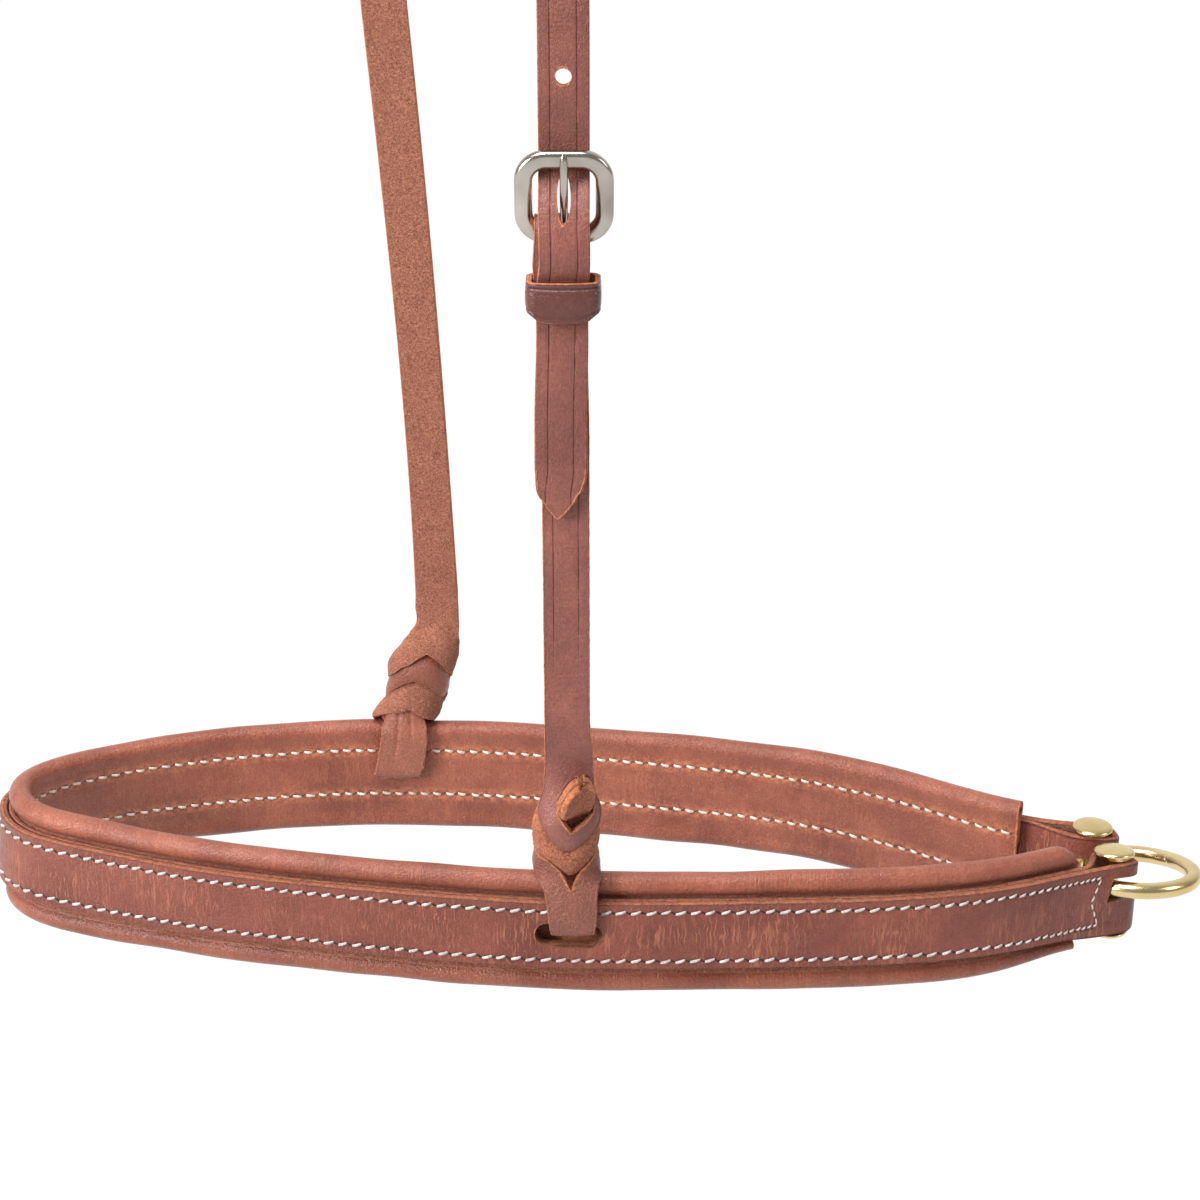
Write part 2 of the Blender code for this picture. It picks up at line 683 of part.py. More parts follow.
def smooth_rows(rows, turn=LARGEST_STRAP_TURN, longest=1.3 * LONGEST_STRAP_FLAT):
    at, length = spline(rows)
    return [tuple(at(s)) for s in stations(at, 0.0, length, turn, longest)]


# The loop that holds the band stands off the stitching outside and the lining inside.
LEG_ROOM = GAP + THREAD_THICKNESS + GAP + HANGER_THICKNESS / 2
OUTER_LEG = STRAP_OUTSIDE + LEG_ROOM + 0.3 * MM
INNER_LEG = LINING_FACE - LEG_ROOM - 1.2 * MM
LOOP_CORNER = 2.0 * MM
LOOP_CLOSING = 4.3 * MM

# Each knot from its foot to its top: height above the band, width, how many straps thick it is, and how far
# it has moved from over the band to the strap.
NEAR_KNOT = (
    (2.6, 15.5, 4.1, 0.00), (5.0, 17.5, 4.8, 0.00), (9.0, 17.0, 4.8, 0.10), (13.0, 16.6, 4.5, 0.35),
    (17.0, 15.6, 4.1, 0.60), (22.0, 15.6, 3.4, 0.80), (27.0, 13.2, 2.3, 0.95), (33.0, 11.4, 1.1, 1.00),
)
FAR_KNOT = (
    (2.4, 15.0, 3.9, 0.00), (5.0, 17.6, 4.5, 0.05), (10.0, 17.7, 4.3, 0.22), (16.0, 17.7, 4.1, 0.50),
    (22.0, 16.0, 3.6, 0.78), (27.0, 14.0, 2.5, 0.93), (33.0, 12.2, 1.1, 1.00),
)
TAIL_LENGTH = 9.0 * MM
TAIL_WIDTH = 5.5 * MM
TAIL_RISE = 22.5 * MM
TAIL_SHARE = 0.7


def loop_route():
    """The middle of the loop as (n, h): down outside, in through the slot and up inside."""
    top = BAND_HEIGHT
    foot = STRAP_MIDDLE
    bend = LOOP_CORNER
    outer = [
        (OUTER_LEG - LOOP_CLOSING, top + 4 * bend), (OUTER_LEG - 0.6 * LOOP_CLOSING, top + 2 * bend),
        (OUTER_LEG - 0.2 * LOOP_CLOSING, top), (OUTER_LEG, top - 2 * bend), (OUTER_LEG, foot + 2 * bend),
        (OUTER_LEG - 0.5 * bend, foot + bend), (STRAP_FACE, foot + 0.4 * bend), (FLANGE_FACE, foot),
    ]
    inner = [
        (LINING_FACE, foot - 0.2 * bend), (INNER_LEG + 0.6 * bend, foot), (INNER_LEG, foot + bend),
        (INNER_LEG, foot + 3 * bend), (INNER_LEG, top - 2 * bend), (INNER_LEG + 0.2 * LOOP_CLOSING, top),
        (INNER_LEG + 0.6 * LOOP_CLOSING, top + 2 * bend), (INNER_LEG + LOOP_CLOSING, top + 4 * bend),
    ]
    return outer + inner


def loop_body(s):
    """The loop through one slot of the band."""
    place, normal = plan_point(s)
    turn = math.atan(-normal[0] / normal[1])
    rows = []
    for n, h in loop_route():
        point = beside_band(s, n, h)
        rows.append((*point, LOOP_WIDTH, HANGER_THICKNESS, turn))
    return strap_body(smooth_rows(rows, LARGEST_LOOP_TURN))


def knot_body(s, knot, strap_foot):
    """The knot above a loop, from over the band to the foot of the plain strap."""
    foot = beside_band(s, (OUTER_LEG + INNER_LEG) / 2, 0.0)
    rows = []
    for rise, width, plies, share in knot:
        middle = foot.lerp(Vector((strap_foot[0], strap_foot[1], 0.0)), share)
        level = height(BAND_HEIGHT + rise * MM)
        rows.append((middle.x, middle.y, level, width * MM, plies * HANGER_THICKNESS, 0.0))
    return strap_body(rows)


def tail_body(s, knot_xy, outward):
    """The end of the strap, drawn out through the knot and left standing proud of it."""
    foot = beside_band(s, (OUTER_LEG + INNER_LEG) / 2, 0.0)
    start = foot.lerp(Vector((knot_xy[0], knot_xy[1], 0.0)), TAIL_SHARE)
    start.z = height(BAND_HEIGHT + TAIL_RISE)
    rings = []
    for reach, size in ((0.0, 1.0), (0.55, 1.0), (0.85, 0.8), (1.0, 0.45)):
        middle = start + Vector((0.0, outward * TAIL_LENGTH * reach, 0.0))
        rings.append([
            middle + Vector((math.cos(a), 0.0, 0.85 * math.sin(a))) * TAIL_WIDTH / 2 * size
            for a in np.radians(np.arange(0.0, 360.0, 45.0))
        ])
    return loft(rings)


def add_knot(strap, side, s, knot, strap_foot, outward):
    """Joins the loop, the knot and the tail to their strap, as they are all one length of leather."""
    for name, body in (
        (f"{side}_loop", loop_body(s)),
        (f"{side}_knot", knot_body(s, knot, strap_foot)),
        (f"{side}_tail", tail_body(s, strap_foot, outward)),
    ):
        boolean(strap, add_mesh(name, body, HANGER), "UNION")


BAR_Y = CHEEK_Y + HANGER_THICKNESS / 2 + FRAME_HALF_WIDTH + GAP
CHAPE_Y = CHEEK_Y + HANGER_THICKNESS + GAP
BILLET_Y = CHEEK_Y - HANGER_THICKNESS - GAP
CHAPE_BEND = FRAME_HALF_WIDTH + GAP + HANGER_THICKNESS / 2
TONGUE_EYE = FRAME_HALF_WIDTH + GAP + TONGUE_RADIUS


def make_cheek_strap():
    """The near strap: its chape round the buckle's bar, down in front, and its knot and loop below."""
    def row(y, h, width=CHEEK_WIDTH):
        return (CHEEK_X, y, height(h), width, HANGER_THICKNESS, 0.0)

    rows = [row(CHAPE_Y, BAR_HEIGHT - CHAPE_LENGTH), row(CHAPE_Y, BAR_HEIGHT - CHAPE_CLOSED)]
    rows.append(row(CHAPE_Y + CHAPE_PINCH_OFF, BAR_HEIGHT - CHAPE_PINCH))
    for angle in np.radians(np.linspace(-35.0, 180.0, 8)):
        rows.append(row(BAR_Y + CHAPE_BEND * math.cos(angle), BAR_HEIGHT + CHAPE_BEND * math.sin(angle)))
    rows.append(row(CHEEK_Y, BAND_HEIGHT + PLAIN_ABOVE))
    rows.append(row(CHEEK_Y, BAND_HEIGHT + WIDE_ABOVE, LOOP_WIDTH))
    rows.append(row(CHEEK_Y, BAND_HEIGHT + STRAP_FOOT, LOOP_WIDTH))
    strap = add_mesh("cheek_strap", strap_body(rows), HANGER)
    add_knot(strap, "near", NEAR_SLOT, NEAR_KNOT, (CHEEK_X, CHEEK_Y), -1)
    low = -(TONGUE_EYE + TONGUE_RADIUS + 3 * GAP)
    high = CHAPE_BEND + HANGER_THICKNESS
    room = Vector((TONGUE_SLOT / 2, 2 * CHAPE_BEND, (high - low) / 2))
    slot = box_between("tongue_slot", Vector((CHEEK_X, BAR_Y, height(BAR_HEIGHT + (high + low) / 2))), room)
    boolean(strap, slot, "DIFFERENCE")
    for side in (-1, 1):
        hole = stitch_hole(side)
        boolean(strap, hole, "DIFFERENCE")
    return strap


def box_between(name, centre, half):
    corners = ((-1, -1), (1, -1), (1, 1), (-1, 1))
    rings = [
        [centre + Vector((x * half.x, y * half.y, z * half.z)) for x, y in corners]
        for z in (-1, 1)
    ]
    return add_mesh(name, loft(rings), HANGER)


def stitch_hole(side):
    """One awl hole through both leaves of the chape."""
    radius = STITCH_RADIUS + GAP
    centre = Vector((CHEEK_X + side * STITCH_SPAN / 2, 0.0, height(STITCH_HEIGHT)))
    outline = [(radius * math.cos(a), radius * math.sin(a)) for a in np.radians(range(0, 360, 60))]
    rings = [
        [centre + Vector((x, y, z)) for x, z in outline]
        for y in (CHEEK_Y - 2 * HANGER_THICKNESS, CHAPE_Y + 2 * HANGER_THICKNESS)
    ]
    return add_mesh("left_awl_hole" if side < 0 else "right_awl_hole", loft(rings), HANGER)


def make_chape_stitch():
    """The stitch that closes the chape below the buckle: a loop of thread through the two awl holes."""
    front = CHEEK_Y - HANGER_THICKNESS / 2 - GAP - STITCH_RADIUS
    back = CHAPE_Y + HANGER_THICKNESS / 2 + GAP + STITCH_RADIUS
    half = STITCH_SPAN / 2
    corners = ((-half, front), (half, front), (half, back), (-half, back))
    middle_y = (front + back) / 2
    rings = []
    for x, y in corners:
        outward = Vector((math.copysign(1.0, x), math.copysign(1.0, y - middle_y), 0.0))
        centre = Vector((CHEEK_X + x, y, height(STITCH_HEIGHT)))
        rings.append([
            centre + outward * STITCH_RADIUS * math.cos(a) + Vector((0, 0, STITCH_RADIUS * math.sin(a)))
            for a in np.radians(range(0, 360, 60))
        ])
    return add_mesh("chape_stitch", loft(rings, closed=True), THREAD)


def crown_direction():
    """The crown's direction in plan, from the far strap to the near one."""
    return Vector((math.sin(CROWN_TURN), -math.cos(CROWN_TURN), 0.0))


def crown_bend(side):
    """Rows round one bend of the crown; side is -1 on the far strap and 1 on the near one."""
    flat = crown_direction()
    rows = []
    for angle in np.radians((0.0, 22.5, 45.0, 67.5, 86.0)):
        out = CROWN_HALF_RUN + CROWN_BEND * math.sin(angle)
        drop = CROWN_BEND * (1.0 - math.cos(angle))
        place = flat * side * out
        turn = CROWN_TURN
        rows.append((place.x, place.y, HANGER_THICKNESS / 2 - drop, CROWN_WIDTH, HANGER_THICKNESS, turn))
    return rows


def billet_crossing():
    """Where the tongue goes through the billet: height and Y."""
    return BAR_HEIGHT + CROSSING_RISE, CHEEK_Y - HANGER_THICKNESS / 2


def crown_row(x, y, h, width=CROWN_WIDTH, turn=0.0):
    return (x, y, height(h), width, HANGER_THICKNESS, turn)


def far_rows():
    """The far strap, from its foot in the knot up to the crown's far bend."""
    foot_x, foot_y = (value * MM for value in FAR_STRAP_FOOT)
    bend = list(reversed(crown_bend(-1)))
    rows = [crown_row(foot_x, foot_y, BAND_HEIGHT + rise, LOOP_WIDTH) for rise in (STRAP_FOOT, WIDE_ABOVE)]
    rows.append(crown_row(*(value * MM for value in FAR_STRAP_BODY)))
    rows.append(bend[0])
    return [*smooth_rows(rows, longest=LONGEST_STRAP_FLAT)[:-1], *bend]


def near_rows():
    """The near strap, from the crown's near bend through buckle and keeper to the billet's tip."""
    behind_bar = BAR_Y - BUCKLE_LEAN + FRAME_HALF_DEPTH + 2 * GAP + HANGER_THICKNESS / 2
    crossing, crossing_y = billet_crossing()
    slack_y = BILLET_Y - BILLET_SLACK
    above_bar = BAR_HEIGHT + BUCKLE_RISE + 4 * FRAME_HALF_WIDTH
    below_bar = BAR_HEIGHT + BUCKLE_RISE - FRAME_HALF_WIDTH
    bend = crown_bend(1)
    rows = [
        bend[-1],
        crown_row(*(value * MM for value in NEAR_TWIST), turn=CROWN_TURN / 2),
        crown_row(*(value * MM for value in NEAR_STRAIGHT)),
        crown_row(CHEEK_X, behind_bar, above_bar),
        crown_row(CHEEK_X, behind_bar, below_bar),
        crown_row(CHEEK_X, crossing_y, crossing),
        crown_row(CHEEK_X, slack_y, BAR_HEIGHT + CHAPE_BEND),
        crown_row(CHEEK_X, slack_y, BAR_HEIGHT - 2 * FRAME_HALF_DEPTH - CHAPE_BEND),
    ]
    rows = smooth_rows(rows, LARGEST_STRAP_TURN)
    keeper_top = KEEPER_BOTTOM + KEEPER_HEIGHT
    rows.append(crown_row(CHEEK_X, BILLET_Y, keeper_top, (CROWN_WIDTH + BILLET_WIDTH) / 2))
    rows.append(crown_row(CHEEK_X, BILLET_Y, BILLET_TIP + BILLET_TAPER, BILLET_WIDTH))
    rows.append(crown_row(CHEEK_X, BILLET_Y, BILLET_TIP, BILLET_TIP_WIDTH))
    return bend[:-1] + rows


def make_crown_strap():
    """The long strap: loop and knot on the far side, over the crown, and down to the billet."""
    far = far_rows()
    seat = (len(far) - 1, len(far))
    made = add_mesh("crown_strap", strap_body(far + near_rows(), flat_run=seat), HANGER)
    add_knot(made, "far", FAR_SLOT, FAR_KNOT, (far[0][0], far[0][1]), 1)
    punch_holes(made)
    return made


def punch_holes(strap):
    """The billet's holes, the lowest one drawn long by the tongue."""
    crossing, y = billet_crossing()
    for i in range(HOLE_COUNT):
        long_half = TONGUE_HOLE_LENGTH / 2 if i == 0 else HOLE_RADIUS
        wide_half = TONGUE_HOLE_WIDTH / 2 if i == 0 else HOLE_RADIUS
        centre = Vector((CHEEK_X, y, height(crossing + i * HOLE_PITCH)))
        rings = []
        for side in (-1, 1):
            rings.append([
                centre + Vector((wide_half * math.cos(a), side * HOLE_REACH, long_half * math.sin(a)))
                for a in np.radians(range(0, 360, 30))
            ])
        boolean(strap, add_mesh(f"billet_hole_{i + 1}", loft(rings), HANGER), "DIFFERENCE")


def make_buckle_frame():
    """The heel-bar buckle: one rounded frame whose lower bar carries the chape and the tongue."""
    half = BUCKLE_WIDTH / 2 - FRAME_HALF_WIDTH
    low = Vector((CHEEK_X, BAR_Y, height(BAR_HEIGHT)))
    up = Vector((0.0, -BUCKLE_LEAN, BUCKLE_RISE))
    rise = up.normalized()
    across = Vector((1.0, 0.0, 0.0))
    through = across.cross(rise)
    inset = BUCKLE_CORNER
    tall = up.length
    rings = []
    for cx, cy, first in (
        (half - inset, inset, -90.0), (half - inset, tall - inset, 0.0),
        (inset - half, tall - inset, 90.0), (inset - half, inset, 180.0),
    ):
        for angle in np.radians(np.linspace(first, first + 90.0, 5)):
            outward = across * math.cos(angle) + rise * math.sin(angle)
            centre = low + across * cx + rise * cy + outward * inset
            rings.append([
                centre + outward * FRAME_HALF_WIDTH * math.cos(a) + through * FRAME_HALF_DEPTH * math.sin(a)
                for a in np.radians(np.arange(22.5, 360.0, 45.0))
            ])
    return add_mesh("buckle_frame", loft(rings, closed=True), NICKEL)


def make_buckle_tongue():
    """The tongue: an eye round the heel bar and a straight shaft that rests on the upper bar."""
    centre = Vector((CHEEK_X, BAR_Y, height(BAR_HEIGHT)))
    points = [
        centre + Vector((0.0, TONGUE_EYE * math.cos(a), TONGUE_EYE * math.sin(a)))
        for a in np.radians(np.arange(-150.0, 151.0, 30.0))
    ]
    rest_y = BAR_Y - BUCKLE_LEAN - FRAME_HALF_DEPTH - GAP - TONGUE_RADIUS
    tip = Vector((CHEEK_X, rest_y, height(BAR_HEIGHT + BUCKLE_RISE + 0.8 * FRAME_HALF_WIDTH)))
    start = points[-1]
    for t in (0.35, 0.7, 1.0):
        points.append(start.lerp(tip, t) - Vector((0.0, TONGUE_BOW * math.sin(math.pi * t), 0.0)))
    side = Vector((1.0, 0.0, 0.0))
    rings = []
    for i, point in enumerate(points):
        along = (points[min(i + 1, len(points) - 1)] - points[max(i - 1, 0)]).normalized()
        other = along.cross(side)
        size = 0.6 if i == len(points) - 1 else 1.0
        rings.append([
            point + (side * math.cos(a) + other * math.sin(a)) * TONGUE_RADIUS * size
            for a in np.radians(np.arange(0.0, 360.0, 45.0))
        ])
    return add_mesh("buckle_tongue", loft(rings), NICKEL, centre)


def make_keeper():
    """The sliding keeper: a closed loop of leather round the cheek strap, its chape and the billet."""
    front = BILLET_Y - HANGER_THICKNESS / 2 - KEEPER_ROOM
    back = CHAPE_Y + HANGER_THICKNESS / 2 + KEEPER_ROOM
    middle = (front + back) / 2
    inner = Vector((KEEPER_WIDTH / 2 - KEEPER_WALL, (back - front) / 2))
    corner = KEEPER_CORNER
    outline = []
    for sx, sy, first in ((1, -1, -90.0), (1, 1, 0.0), (-1, 1, 90.0), (-1, -1, 180.0)):
        for angle in np.radians(np.linspace(first, first + 90.0, 3)):
            centre = (sx * (inner.x - corner), sy * (inner.y - corner))
            outline.append((*centre, math.cos(angle), math.sin(angle)))
    rings = []
    for x, y, dx, dy in outline:
        ring = []
        for reach, h in (
            (corner, 0.0), (corner + KEEPER_WALL, 0.0),
            (corner + KEEPER_WALL, KEEPER_HEIGHT), (corner, KEEPER_HEIGHT),
        ):
            ring.append((CHEEK_X + x + dx * reach, middle + y + dy * reach, height(KEEPER_BOTTOM + h)))
        rings.append(ring)
    centre = (CHEEK_X, middle, height(KEEPER_BOTTOM + KEEPER_HEIGHT / 2))
    return add_mesh("keeper", loft(rings, closed=True), HANGER, centre)


def show(label, value):
    print(label, " ".join(f"{number:.5f}" for number in value))


def main():
    for old in list(bpy.data.objects):
        bpy.data.objects.remove(old)
    make_lining()
    make_roll_core("upper_roll_core", BAND_HEIGHT - ROLL_RADIUS)
    make_roll_core("lower_roll_core", ROLL_RADIUS)
    make_backing()
    make_outer_strap()
    make_stitching()
    make_post("near_post", near=True)
    make_post("far_post", near=False)
    make_ring()
    make_cheek_strap()
    make_crown_strap()
    make_chape_stitch()
    make_buckle_frame()
    make_buckle_tongue()
    make_keeper()
    show("near slot", beside_band(NEAR_SLOT, 0.0, STRAP_MIDDLE))
    show("far slot", beside_band(FAR_SLOT, 0.0, STRAP_MIDDLE))
    show("ring hinge point", ring_hinge()[0])
    show("ring hinge axis", ring_hinge()[1])
    show("near post", (*post_place(True), height(STRAP_MIDDLE)))
    show("far post", (*post_place(False), height(STRAP_MIDDLE)))
    show("tongue hinge", (CHEEK_X, BAR_Y, height(BAR_HEIGHT)))
    show("band length", (PLAN_LENGTH,))


main()
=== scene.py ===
# %% [markdown]
# # A leather noseband on its hanger
#
# The noseband is a tall band of stitched leather, bent to a long loop and closed by a brass ring. A narrow
# strap passes through a slot in each side, is knotted above it, and carries the band from the horse's head.
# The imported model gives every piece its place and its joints. This script puts a finely made piece over each
# of its solids, gives each piece a finish, and sets up the light and the camera.

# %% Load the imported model
import math

import bmesh
import bpy
import numpy as np
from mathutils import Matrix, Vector, noise as lumps
from mathutils.kdtree import KDTree


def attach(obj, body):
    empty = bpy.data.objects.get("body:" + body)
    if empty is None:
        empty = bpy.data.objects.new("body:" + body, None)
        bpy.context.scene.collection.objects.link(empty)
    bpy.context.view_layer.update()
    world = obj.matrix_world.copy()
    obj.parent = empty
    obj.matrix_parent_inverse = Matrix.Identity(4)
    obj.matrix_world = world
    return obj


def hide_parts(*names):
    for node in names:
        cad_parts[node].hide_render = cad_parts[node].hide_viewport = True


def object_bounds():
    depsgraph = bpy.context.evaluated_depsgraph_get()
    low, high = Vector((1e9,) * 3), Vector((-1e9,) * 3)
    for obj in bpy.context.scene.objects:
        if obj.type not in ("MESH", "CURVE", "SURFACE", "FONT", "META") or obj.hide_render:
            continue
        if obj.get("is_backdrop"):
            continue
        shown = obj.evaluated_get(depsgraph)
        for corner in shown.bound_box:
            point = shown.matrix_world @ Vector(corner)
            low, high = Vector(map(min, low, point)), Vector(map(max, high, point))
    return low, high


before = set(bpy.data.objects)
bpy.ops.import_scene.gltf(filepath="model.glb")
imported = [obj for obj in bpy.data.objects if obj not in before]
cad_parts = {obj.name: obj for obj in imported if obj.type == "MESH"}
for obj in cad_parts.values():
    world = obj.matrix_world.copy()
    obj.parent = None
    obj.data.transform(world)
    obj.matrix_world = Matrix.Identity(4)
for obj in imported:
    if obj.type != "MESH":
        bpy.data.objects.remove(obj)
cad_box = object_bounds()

# %% [markdown]
# ## Measures
#
# Millimetres are easier to read than metres for a thing of this size, so every length here is in millimetres,
# and the one function that makes meshes turns them into metres. Heights called h are counted from the band's
# lower edge, and the row frame's zero is the underside of the hanger where it lies on the head, 472 above it.

# %% Millimetres and the height of the band
MM = 0.001
CROWN_HEIGHT = 472.0
BAND_HEIGHT = 33.0
GAP = 0.3


def world_z(h):
    """Z in millimetres of a height measured from the bottom of the band."""
    return h - CROWN_HEIGHT


print("band is", BAND_HEIGHT, "mm high, its lower edge at", world_z(0.0))

# %% [markdown]
# ## The band's curve
#
# Seen from above the band is one smooth open curve. A natural cubic through measured places gives it, and every
# layer of leather is then a fixed distance n outside or inside that curve. Doing the arithmetic on whole
# arrays keeps the script quick, although the band has more than a thousand rows of points.


# %% A smooth line through measured places
def smooth_line(rows, places=3):
    """A natural cubic through rows of numbers, as a function of distance along their first columns."""
    rows = np.array(rows, float)
    steps = np.linalg.norm(np.diff(rows[:, :places], axis=0), axis=1)
    knots = np.concatenate([[0.0], np.cumsum(steps)])
    slope = np.diff(rows, axis=0) / steps[:, None]
    count = len(rows)
    system = np.eye(count)
    right = np.zeros_like(rows)
    for i in range(1, count - 1):
        system[i, i - 1 : i + 2] = steps[i - 1], 2 * (steps[i - 1] + steps[i]), steps[i]
        right[i] = 6 * (slope[i] - slope[i - 1])
    bend = np.linalg.solve(system, right)

    def at(s):
        s = np.atleast_1d(np.asarray(s, float))
        i = np.clip(np.searchsorted(knots, s) - 1, 0, count - 2)
        a = (knots[i + 1] - s)[:, None]
        b = (s - knots[i])[:, None]
        run = steps[i][:, None]
        cubic = (bend[i] * a**3 + bend[i + 1] * b**3) / (6 * run)
        start = rows[i] / run - bend[i] * run / 6
        end = rows[i + 1] / run - bend[i + 1] * run / 6
        return cubic + start * a + end * b

    return at, knots[-1]


BAND_PLAN = (
    (167.2, -18.3), (154.5, -23.2), (139.5, -29.5), (117.5, -35.0), (73.5, -38.0), (23.5, -38.0),
    (-25.5, -31.0), (-67.5, -21.5), (-98.5, -10.5), (-118.5, 2.0), (-122.5, 16.0), (-109.5, 31.0),
    (-83.5, 42.0), (-42.5, 50.0), (0.5, 49.5), (49.5, 42.0), (91.5, 31.0), (123.5, 13.5),
    (142.5, 0.8), (152.5, -3.0), (165.5, -4.9),
)
PLAN, PLAN_LENGTH = smooth_line(BAND_PLAN, places=2)
print("band length", round(PLAN_LENGTH, 1), "mm")


# %% Places beside the band
def plan_at(s):
    """Places and outward normals on the plan curve, which runs on straight past both ends."""
    inside = np.clip(np.atleast_1d(np.asarray(s, float)), 0.0, PLAN_LENGTH)
    place = PLAN(inside)
    ahead = PLAN(np.minimum(inside + 0.5, PLAN_LENGTH)) - PLAN(np.maximum(inside - 0.5, 0.0))
    ahead /= np.linalg.norm(ahead, axis=1)[:, None]
    normal = np.column_stack([-ahead[:, 1], ahead[:, 0]])
    return place + ahead * (np.atleast_1d(s) - inside)[:, None], normal


def length_at_x(x, near):
    """How far along the band its near or far side passes a given X."""
    lengths = np.linspace(0.0, PLAN_LENGTH, 4001)
    places = plan_at(lengths)[0]
    toe = int(places[:, 0].argmin())
    side = slice(0, toe) if near else slice(toe, None)
    return lengths[side][np.abs(places[side, 0] - x).argmin()]


TOE_LENGTH = length_at_x(-1000.0, near=False)
TOE_LEAN = math.radians(7.0)
TOE_REACH = 95.0


def lean(s):
    """How far the band leans out at its foot round the toe, as a slope."""
    away = np.minimum(np.abs(np.asarray(s, float) - TOE_LENGTH) / TOE_REACH, 1.0)
    return np.tan(TOE_LEAN * np.cos(away * np.pi / 2) ** 2)


def beside_band(s, n, h):
    """World places a distance n outside the plan curve at height h, for arrays of one shape."""
    s, n, h = np.broadcast_arrays(*(np.asarray(v, float) for v in (s, n, h)))
    place, normal = plan_at(s.ravel())
    out = (n - lean(s) * (h - BAND_HEIGHT / 2)).ravel()[:, None]
    flat = place + normal * out
    return np.column_stack([flat, world_z(h.ravel())]).reshape(*s.shape, 3)


def ease(t):
    """Goes smoothly from 0 to 1 as t goes from 0 to 1."""
    t = np.clip(t, 0.0, 1.0)
    return t * t * (3 - 2 * t)


print("toe of the band at", np.round(beside_band(TOE_LENGTH, 0.0, 0.0), 1))

# %% [markdown]
# ## Making meshes
#
# Nearly every piece is a skin over a grid of points: rows along the piece and columns round it. Each point also
# carries marks, which the finishes read: its place along and across the leather, whether it is on the flesh
# side, and how near it is to a cut edge. A texture painted in flat coordinates would need unwrapping, while
# these marks follow the leather wherever it bends.


# %% A skin over a grid of points
SHARP_FROM = math.radians(50.0)


def add_piece(name, vertices, faces, finish, marks=None):
    """An object from places in millimetres, with its marks stored on its points."""
    mesh = bpy.data.meshes.new(name)
    mesh.from_pydata((np.asarray(vertices) * MM).tolist(), [], faces)
    for label, values in (marks or {}).items():
        kind = "FLOAT_VECTOR" if values.ndim == 2 else "FLOAT"
        layer = mesh.attributes.new(label, kind, "POINT")
        layer.data.foreach_set("vector" if values.ndim == 2 else "value", values.ravel().astype(np.float32))
    body = bmesh.new()
    body.from_mesh(mesh)
    bmesh.ops.recalc_face_normals(body, faces=body.faces)
    if body.calc_volume(signed=True) < 0:
        bmesh.ops.reverse_faces(body, faces=body.faces)
    body.to_mesh(mesh)
    body.free()
    mesh.shade_smooth()
    mesh.set_sharp_from_angle(angle=SHARP_FROM)
    mesh.materials.append(finish)
    made = bpy.data.objects.new(name, mesh)
    bpy.context.scene.collection.objects.link(made)
    return made


def grid_faces(rows, columns, closed_rows=False, start=0, cap=None):
    """Four-cornered faces over a grid whose columns close on themselves, with a cap at each open end."""
    i, j = np.meshgrid(np.arange(rows if closed_rows else rows - 1), np.arange(columns), indexing="ij")
    after, beside = (i + 1) % rows, (j + 1) % columns
    corners = [i * columns + j, i * columns + beside, after * columns + beside, after * columns + j]
    faces = (np.stack(corners, -1).reshape(-1, 4) + start).tolist()
    if not closed_rows:
        for face in cap or [list(range(columns))]:
            faces.append([start + k for k in face[::-1]])
            faces.append([start + (rows - 1) * columns + k for k in face])
    return faces


def skin(name, grid, finish, marks=None, closed_rows=False, cap=None):
    """A closed piece over a grid of places, rows along it and columns round it."""
    grid = np.asarray(grid, float)
    flat = {k: v.reshape(-1, 3) if v.ndim == 3 else v.ravel() for k, v in (marks or {}).items()}
    faces = grid_faces(*grid.shape[:2], closed_rows, cap=cap)
    return add_piece(name, grid.reshape(-1, 3), faces, finish, flat)


def turns(count):
    """Evenly spaced angles, once round a circle."""
    return np.linspace(0.0, 2 * np.pi, count, endpoint=False)


def settle(piece, body, node):
    """Says which body a piece moves with and hides the solid of the node it stands for."""
    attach(piece, body)
    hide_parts(node)
    return piece


print("helpers for skins are ready")

# %% [markdown]
# A strap is a sheet with a thickness. Its middle surface is a grid, its grain side stands half a thickness off
# on one side and its flesh side on the other, and small round corners join them at the cut edges. Blender's
# Solidify does much the same, but building the section here lets the grain side carry its own relief, such as
# creases and the dents of stitches, and marks every point for the finish.


# %% Leather of a given thickness over a middle surface
CORNER_STEPS = np.radians((20.0, 45.0, 70.0, 90.0))


def unit(vectors):
    return vectors / np.maximum(np.linalg.norm(vectors, axis=-1, keepdims=True), 1e-9)


